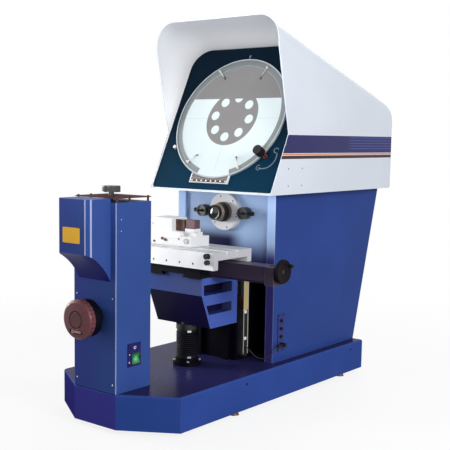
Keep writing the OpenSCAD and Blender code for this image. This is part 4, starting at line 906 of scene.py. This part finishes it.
def add_camera(scene):
    """A camera whose right and up vectors are turned by the roll about the line of sight."""
    yaw, pitch, roll = (math.radians(a) for a in CAMERA_TURN)
    level = math.cos(pitch)
    ahead = Vector((-math.sin(yaw) * level, math.cos(yaw) * level, -math.sin(pitch)))
    flat = Vector((math.cos(yaw), math.sin(yaw), 0))
    right = flat * math.cos(roll) + flat.cross(ahead) * math.sin(roll)
    camera = bpy.data.objects.new("camera", bpy.data.cameras.new("camera"))
    camera.data.sensor_fit = "HORIZONTAL"
    camera.data.sensor_width = 36.0
    camera.data.lens = CAMERA_LENS
    camera.data.shift_x, camera.data.shift_y = CAMERA_SHIFT
    camera.data.clip_end = 50
    turn = Matrix((right, right.cross(ahead), -ahead)).transposed().to_4x4()
    camera.matrix_world = Matrix.Translation(CAMERA_PLACE) @ turn
    scene.collection.objects.link(camera)
    scene.camera = camera


def add_world(scene):
    """A dim even light that looks white where the camera sees it."""
    scene.world = bpy.data.worlds.new("studio")
    scene.world.use_nodes = True
    nodes = Nodes(scene.world.node_tree)
    dim = nodes.node("ShaderNodeBackground", None, {"Color": (0.97, 0.98, 1.0, 1), "Strength": WORLD_LIGHT})
    white = nodes.node("ShaderNodeBackground", None, {"Color": (1.0, 1.0, 1.0, 1), "Strength": 1.0})
    shown = nodes.node("ShaderNodeMixShader", None, {0: nodes.seen(), 1: dim, 2: white})
    nodes.ends("ShaderNodeOutputWorld", shown)


def add_floor():
    """A round floor that keeps the shadow under the object and fades to white away from it."""
    f = Finish("floor_white")
    x, y, _ = f.position()
    seen = f.seen()
    tone = f.mix(f.noise(3, 2), (0.9, 0.9, 0.9), (0.94, 0.94, 0.94))
    matt = f.surface(Base_Color=f.mix(seen, (0.2, 0.2, 0.21), tone), Roughness=0.7)
    glow = f.node("ShaderNodeEmission", None, {"Strength": 1.0})
    far = distance(x, y - FLOOR_MIDDLE).step(0.8, 2.2)
    share = seen * (FLOOR_WHITE + (1 - FLOOR_WHITE) * far)
    f.ends("ShaderNodeOutputMaterial", f.node("ShaderNodeMixShader", None, {0: share, 1: matt, 2: glow}))
    a = np.linspace(0, 2 * math.pi, 48, endpoint=False)
    rim = np.stack([FLOOR_RADIUS * np.cos(a), FLOOR_MIDDLE + FLOOR_RADIUS * np.sin(a), 0 * a], axis=1)
    mesh_object("floor", rim, [tuple(range(len(a)))], f.material, smooth=False)


def add_lamp(scene, name, place, aim, width, watts, spread):
    """A round lamp at a place, turned towards its aim."""
    lamp = bpy.data.lights.new(name, "AREA")
    lamp.shape = "DISK"
    lamp.size = width
    lamp.energy = watts
    lamp.spread = math.radians(spread)
    holder = bpy.data.objects.new(name, lamp)
    holder.location = place
    holder.visible_camera = False
    holder.rotation_euler = (Vector(aim) - Vector(place)).to_track_quat("-Z", "Y").to_euler()
    scene.collection.objects.link(holder)


# Operators

class COMPARATOR_OT_stage(bpy.types.Operator):
    """Camera, floor and soft studio light"""
    bl_idname = "comparator.stage"
    bl_label = "Stage"

    def execute(self, context):
        add_camera(context.scene)
        add_world(context.scene)
        add_floor()
        for name, values in LAMPS.items():
            add_lamp(context.scene, name, *values)
        context.scene.view_settings.view_transform = "Standard"
        return {"FINISHED"}


class COMPARATOR_OT_lead(bpy.types.Operator):
    """Signal lead from the vertical scale to its plug"""
    bl_idname = "comparator.lead"
    bl_label = "Signal lead"

    def execute(self, context):
        finish = moulded("lead_rubber", (0.012, 0.012, 0.013), 0.55, 2600, 0.00002)
        points, faces = swept_tube(LEAD_ROUTE, sizes().lead / 2)
        lead = mesh_object("signal_lead", points, faces, finish)
        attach(lead, "frame")
        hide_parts("scale_lead")
        return {"FINISHED"}


class COMPARATOR_OT_finishes(bpy.types.Operator):
    """Finishes of the solids"""
    bl_idname = "comparator.finishes"
    bl_label = "Finishes"

    def execute(self, context):
        blue, front, mauve = colour("blue"), colour("front_blue"), colour("jaw")
        vise, brown = shade(colour("table"), 0.86), (0.16, 0.06, 0.03)
        navy, orange, maroon = (0.008, 0.008, 0.09), (0.66, 0.24, 0.09), (0.03, 0.006, 0.012)
        looks = {
            knee_finish(blue): "knee",
            # The second colour is painted shade for the base's top
            base_finish(shade(blue, 1.14), (0.02, 0.019, 0.085)): "base",
            tower_finish(colour("tower_blue")): "tower_housing tower_head",
            column_finish(blue, front): "column_cover",
            front_finish(front): "column_frame",
            connector_finish((0.027, 0.033, 0.17)): "connector_plates",
            painted("switch_plate_paint", (0.016, 0.017, 0.12), 0.4, sheen=0.08): "switch_plate",
            rocker_finish(): "power_rocker",
            painted("vent_brown", (0.1, 0.045, 0.05), 0.7, sheen=0.02): "vent_cover",
            brushed("knob_steel", (0.05, 0.045, 0.045), 0.3, metallic=0.7): "lid_knob",
            painted("lamp_ceramic", (0.75, 0.74, 0.68), 0.3): "lamp_unit",
            head_finish(colour("white"), navy, orange, maroon): "head_shell",
            panel_finish(colour("navy")): "screen_panel",
            protractor_band(): "screen_ring",
            screen_picture(): "screen_glass",
            vernier_finish(): "vernier_plate",
            clip_finish(): "clip_1 clip_2 clip_3 clip_4 screen_clamp",
            collar_finish(): "screen_knob",
            painted("lens_flange_white", (0.75, 0.76, 0.78), 0.3): "lens_flange",
            lens_finish(): "lens_barrel",
            lens_glass_finish((0.02, 0.024, 0.03)): "lens_glass",
            table_finish(colour("table")): "table",
            jaw_finish("vise_enamel", vise, mauve, brown, -0.038, -0.0055, 0.4995): "vise_base",
            jaw_finish("vise_jaw_enamel", vise, mauve, brown, -0.1, -0.09, 0.508): "vise_jaw",
            scale_finish(): "vertical_scale",
            wheel_finish(colour("wheel")): "lift_wheel",
            brushed("crank_pale", (0.34, 0.17, 0.18), 0.35, metallic=0.4): "lift_crank",
            painted("dark_anodised", (0.009, 0.006, 0.009), 0.6, sheen=0.05): "x_wheel",
            # The pale colour paints highlights along the arm's edges
            painted("arm_black", (0.042, 0.028, 0.052), 0.36, sheen=0.16, pale=(0.2, 0.18, 0.22)): "x_arm",
            painted("flange_black", (0.003, 0.003, 0.007), 0.45, sheen=0.05):
                "wheel_collar bellows_flange guide_block saddle",
            moulded("black_enamel", (0.012, 0.012, 0.014), 0.36, 1100, 0.00004):
                "illuminators collimator scale_reader table_clamp",
            moulded("black_knob", (0.006, 0.006, 0.007), 0.42, 1800, 0.00004, gloss=0.25):
                "thumbscrew_left thumbscrew_right focus_knob quick_release x_crank_knob",
            moulded("belt_rubber", (0.008, 0.008, 0.009), 0.65, 1500): "drive_belt bellows scale_lead",
            brushed("foot_brass", (0.2, 0.1, 0.05), 0.4, metallic=0.7): "levelling_feet",
            brushed("ground_steel", (0.62, 0.63, 0.65), 0.26): "lift_shaft drive_shaft lead_screw vise_screw",
            brushed("machined_iron", (0.011, 0.012, 0.02), 0.55, metallic=0.3): "gearbox mirror_frame",
            brushed("blackened_steel", (0.03, 0.031, 0.034), 0.36, metallic=0.7): "lift_nut x_screw",
            brushed("mirror_silver", (0.9, 0.91, 0.92), 0.03, scale=30): "mirror",
        }
        for finish, names in looks.items():
            for name in names.split():
                for slot in NODES[name].material_slots:
                    slot.material = finish
        return {"FINISHED"}


class COMPARATOR_OT_bellows(bpy.types.Operator):
    """Folded bellows over the lift screw, and the straps round its ends"""
    bl_idname = "comparator.bellows"
    bl_label = "Bellows"

    def execute(self, context):
        low, high = (np.array(c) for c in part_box("bellows"))
        centre = np.array([(low[0] + high[0]) / 2, (low[1] + high[1]) / 2, low[2]])
        height, r = high[2] - low[2], (high[0] - low[0]) / 2
        n = sizes().folds
        t = np.linspace(0, 1, 12 * n + 1)
        wave = np.abs(np.sin(math.pi * n * t)) ** 0.7
        folds = np.stack([r - 0.0065 + 0.0062 * wave, CUFF + t * (height - 2 * CUFF)], axis=1)
        cuff = r - 0.0035
        foot = [(cuff, 0), (cuff, CUFF - 0.0005)]
        head = [(cuff, height - CUFF + 0.0005), (cuff, height)]
        outer = np.vstack([foot, folds, head])
        inner = outer[::-1] - np.array([0.0012, 0])
        points, faces = revolved(np.vstack([outer, inner]), centre, UP, 64, closed=True)
        finish = moulded("bellows_rubber", (0.005, 0.0045, 0.008), 0.5, 1500, gloss=0.15)
        piece = mesh_object("lift_bellows", points, faces, finish)
        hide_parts("bellows")
        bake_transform(piece)

        strap_black = moulded("strap_black", (0.006, 0.006, 0.007), 0.5, 1900, 0.00002, gloss=0.2)
        steel = brushed("buckle_steel", (0.66, 0.67, 0.7), 0.25)
        outward, across = np.array([0.77, -0.64, 0.0]), np.array([0.64, 0.77, 0.0])
        band = np.array([(0.0001, -STRAP), (0.0009, -STRAP), (0.0009, STRAP), (0.0001, STRAP)])
        outline = rounded_outline(0.012, 0.0062, 0.001)
        for side, body, z in (("lower", "frame", low[2] + CUFF / 2), ("upper", "lift", high[2] - CUFF / 2)):
            middle = np.array([centre[0], centre[1], z])
            strap = revolved(band + np.array([cuff, 0]), middle, UP, 64, closed=True)
            place = middle + (cuff + 0.0009) * outward
            buckle = slab(outline, place, across, UP, -0.0006, 0.0036, 0.0006)
            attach(mesh_object(side + "_band", *strap, strap_black), body)
            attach(mesh_object(side + "_buckle", *buckle, steel), body)
        return {"FINISHED"}


class COMPARATOR_OT_screws(bpy.types.Operator):
    """Cover and flange screws"""
    bl_idname = "comparator.screws"
    bl_label = "Screws"

    def execute(self, context):
        black = brushed("screw_black", (0.02, 0.02, 0.022), 0.35, metallic=0.7)
        steel = brushed("screw_steel", (0.62, 0.64, 0.7), 0.3, metallic=0.8)
        grey = brushed("screw_grey", (0.3, 0.31, 0.34), 0.45, metallic=0.3)
        r = sizes().cap
        small = 0.55 * r
        sides = (-1, 1)
        head_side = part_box("head_shell")[1][0]
        vent_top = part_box("vent_cover")[1][2]
        switch_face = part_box("switch_plate")[1][0]
        table_low, table_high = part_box("table")
        table_front, table_row = table_low[1] + 0.002, table_high[2] - 0.035
        flange, flange_front = middle_of("lens_flange"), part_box("lens_flange")[0][1] + 0.0012
        flange_ring = 0.048
        ledge, ledge_low = middle_of("bellows_flange"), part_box("bellows_flange")[0]
        reach, ledge_top = ledge[0] - ledge_low[0] - 0.004, ledge_low[2] + 0.012
        groups = {
            "head_screws": ("frame", grey, [
                screw_head((s * head_side, y * MM, z * MM), (s, 0, 0), small)
                for s in sides for y in (542, 612) for z in (683, 634)]),
            "tower_screws": ("frame", steel, [
                screw_head((x * MM, 0, z * MM), AHEAD, small) for x in (-66, 66) for z in (357, 131)] + [
                screw_head((s * TOWER_SIDE, 0.019, z * MM), (s, 0, 0), 0.7 * small)
                for s in sides for z in (559, 530)]),
            "vent_screws": ("frame", black, [
                screw_head((x * MM, y * MM, vent_top), UP, 0.9 * r)
                for x in (-71, 71) for y in (10, 54.6, 124)]),
            "flange_screws": ("frame", black, [
                screw_head((flange_ring * math.cos(a), flange_front, flange[2] + flange_ring * math.sin(a)),
                           AHEAD, 0.0024)
                for a in np.radians(45 + 60 * np.arange(6))]),
            "plate_screws": ("frame", black, [
                screw_head((PLATE_FACE, y * MM, z * MM), RIGHT, 0.0024)
                for y in (571, 597) for z in (143, 247)] + [
                screw_head((switch_face, y * MM, z * MM), RIGHT, 0.0022)
                for y in (47, 86) for z in (176, 230)]),
            "table_screws": ("table", black, [
                screw_head(((97 - 48.5 * k) * MM, table_front, table_row), AHEAD, 0.0029) for k in range(6)]),
            "bellows_screws": ("frame", steel, [
                screw_head((reach * math.cos(a), ledge[1] + reach * math.sin(a), ledge_top), UP, 0.0042)
                for a in np.radians((45, 135, 225, 315))]),
        }
        for name, (body, finish, parts) in groups.items():
            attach(mesh_object(name, *joined(parts), finish), body)
        return {"FINISHED"}


class COMPARATOR_OT_plates(bpy.types.Operator):
    """Bare plate on the lamp tower"""
    bl_idname = "comparator.plates"
    bl_label = "Bare plate"

    def execute(self, context):
        yellow = painted("plate_yellow", (1.0, 0.52, 0.025), 0.4, 0.1, 0.00002, 900)
        outline = rounded_outline(*TOWER_PLATE, 0.003)
        plate = slab(outline, TOWER_PLATE_PLACE, RIGHT, UP, -0.0002, 0.0008, 0.0003)
        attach(mesh_object("tower_plate", *plate, yellow), "frame")
        return {"FINISHED"}


class COMPARATOR_OT_switch(bpy.types.Operator):
    """Bezel and marks of the power switch"""
    bl_idname = "comparator.switch"
    bl_label = "Switch trim"

    def execute(self, context):
        low, high = (np.array(c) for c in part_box("power_rocker"))
        face = np.array([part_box("switch_plate")[1][0], *((low + high) / 2)[1:]])
        wide, tall = (high - low)[1:] + BEZEL_GAP - np.array([ROCKER_LUGS, 0])
        outer = rounded_outline(wide + BEZEL_RIM, tall + BEZEL_RIM, 0.002)
        inner = rounded_outline(wide, tall, 0.0004)
        rows = [(outer, -0.0002), (outer * 0.985, 0.0014), (inner, 0.0014), (inner, -0.0002)]
        points = np.vstack([on_plane(flat, face, BACK, UP, h) for flat, h in rows])
        faces = grid_faces(len(rows), len(outer), wrap_rows=True)
        black = moulded("bezel_black", (0.006, 0.006, 0.007), 0.45, 2200, 0.00002)
        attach(mesh_object("rocker_bezel", points, faces, black), "frame")

        white = moulded("switch_mark_white", (0.62, 0.64, 0.68), 0.5, 2000, 0.00001)
        origin = np.array([face[0], 0.0, 0.0])
        spots = ((68.2, 221.4, 3.4, 1.6), (47.6, 205.0, 1.2, 1.1), (47.6, 184.7, 1.7, 1.2))
        parts = [ribbon(MM * np.array([y, z]), MM * r, 0, 360, MM * w, origin, BACK, UP, 0.0002)
                 for y, z, r, w in spots]
        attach(mesh_object("switch_marks", *joined(parts), white, smooth=False), "frame")
        return {"FINISHED"}


class COMPARATOR_OT_fittings(bpy.types.Operator):
    """Lead clips on the scale, and the screws and round boss on the vise"""
    bl_idname = "comparator.fittings"
    bl_label = "Small fittings"

    def execute(self, context):
        nylon = moulded("clip_nylon", (0.8, 0.8, 0.8), 0.5, 1600, 0.00002)
        clip_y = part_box("vertical_scale")[0][1] + 0.0062
        outline = rounded_outline(0.011, 0.009, 0.0015)
        parts = [slab(outline, (SCALE_FACE, clip_y, z), BACK, UP, -0.0002, 0.004, 0.0008)
                 for z in (0.2565, 0.1765)]
        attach(mesh_object("lead_clips", *joined(parts), nylon), "frame")

        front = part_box("vise_base")[0][1]
        brown = brushed("vise_screw_brown", (0.16, 0.05, 0.035), 0.4, metallic=0.5)
        spots = ((-67.6, 476.6, 4.2), (-55.9, 473.1, 4.2), (-100, 466.5, 3.2), (-6, 479, 2.2))
        heads = [screw_head((MM * x, front, MM * z), AHEAD, MM * r) for x, z, r in spots]
        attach(mesh_object("vise_screws", *joined(heads), brown), "table")

        steel = brushed("boss_steel", (0.5, 0.5, 0.5), 0.3, metallic=0.7)
        profile = MM * np.array([(0, -0.2), (7.8, -0.2), (7.8, 2.2), (7, 3), (5.2, 3), (4.6, 1.8), (0, 1.8)])
        boss = revolved(profile, np.array([BOSS_PLACE[0], front, BOSS_PLACE[1]]), AHEAD, 40)
        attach(mesh_object("vise_boss", *boss, steel), "table")
        return {"FINISHED"}


class COMPARATOR_OT_marks(bpy.types.Operator):
    """Index mark and turning arrows on the screen panel"""
    bl_idname = "comparator.marks"
    bl_label = "Panel marks"

    def execute(self, context):
        ink = moulded("mark_ink", (0.1, 0.13, 0.18), 0.5, 2000, 0.00001)
        face = PANEL_FACE + 0.0003
        arcs = ((KNOB_ARROW, 0.038, -112, 18, 0.0035), ((0.199, -0.102), 0.0075, 20, 290, 0.0022),
                ((0.1545, -0.157), 0.0075, 60, 330, 0.0022))
        parts = [ribbon(np.array(c), r, a0, a1, w, SCREEN, SCREEN_X, SCREEN_UP, face)
                 for c, r, a0, a1, w in arcs]
        triangle = np.array([[-0.004, 0.2145], [0.004, 0.2145], [0.0, 0.2005]])
        parts.append((on_plane(triangle, SCREEN, SCREEN_X, SCREEN_UP, face), [(0, 2, 1)]))
        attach(mesh_object("panel_marks", *joined(parts), ink, smooth=False), "frame")
        return {"FINISHED"}


class COMPARATOR_PT_panel(bpy.types.Panel):
    """Lists the comparator's pieces"""
    bl_idname = "COMPARATOR_PT_panel"
    bl_label = "Comparator"
    bl_space_type = "VIEW_3D"
    bl_region_type = "UI"
    bl_category = "Comparator"

    def draw(self, context):
        for kind in OPERATORS:
            self.layout.operator(kind.bl_idname)


OPERATORS = (COMPARATOR_OT_stage, COMPARATOR_OT_lead, COMPARATOR_OT_finishes, COMPARATOR_OT_bellows,
             COMPARATOR_OT_screws, COMPARATOR_OT_plates, COMPARATOR_OT_switch, COMPARATOR_OT_fittings,
             COMPARATOR_OT_marks)
CLASSES = (ComparatorColours, ComparatorSizes, *OPERATORS, COMPARATOR_PT_panel)


def register():
    for kind in CLASSES:
        bpy.utils.register_class(kind)
    bpy.types.Scene.comparator_colours = bpy.props.PointerProperty(type=ComparatorColours)
    bpy.types.Scene.comparator_sizes = bpy.props.PointerProperty(type=ComparatorSizes)


def unregister():
    del bpy.types.Scene.comparator_sizes
    del bpy.types.Scene.comparator_colours
    for kind in reversed(CLASSES):
        bpy.utils.unregister_class(kind)


def main():
    register()
    for kind in OPERATORS:
        group, name = kind.bl_idname.split(".")
        getattr(getattr(bpy.ops, group), name)()


if __name__ == "__main__":
    main()
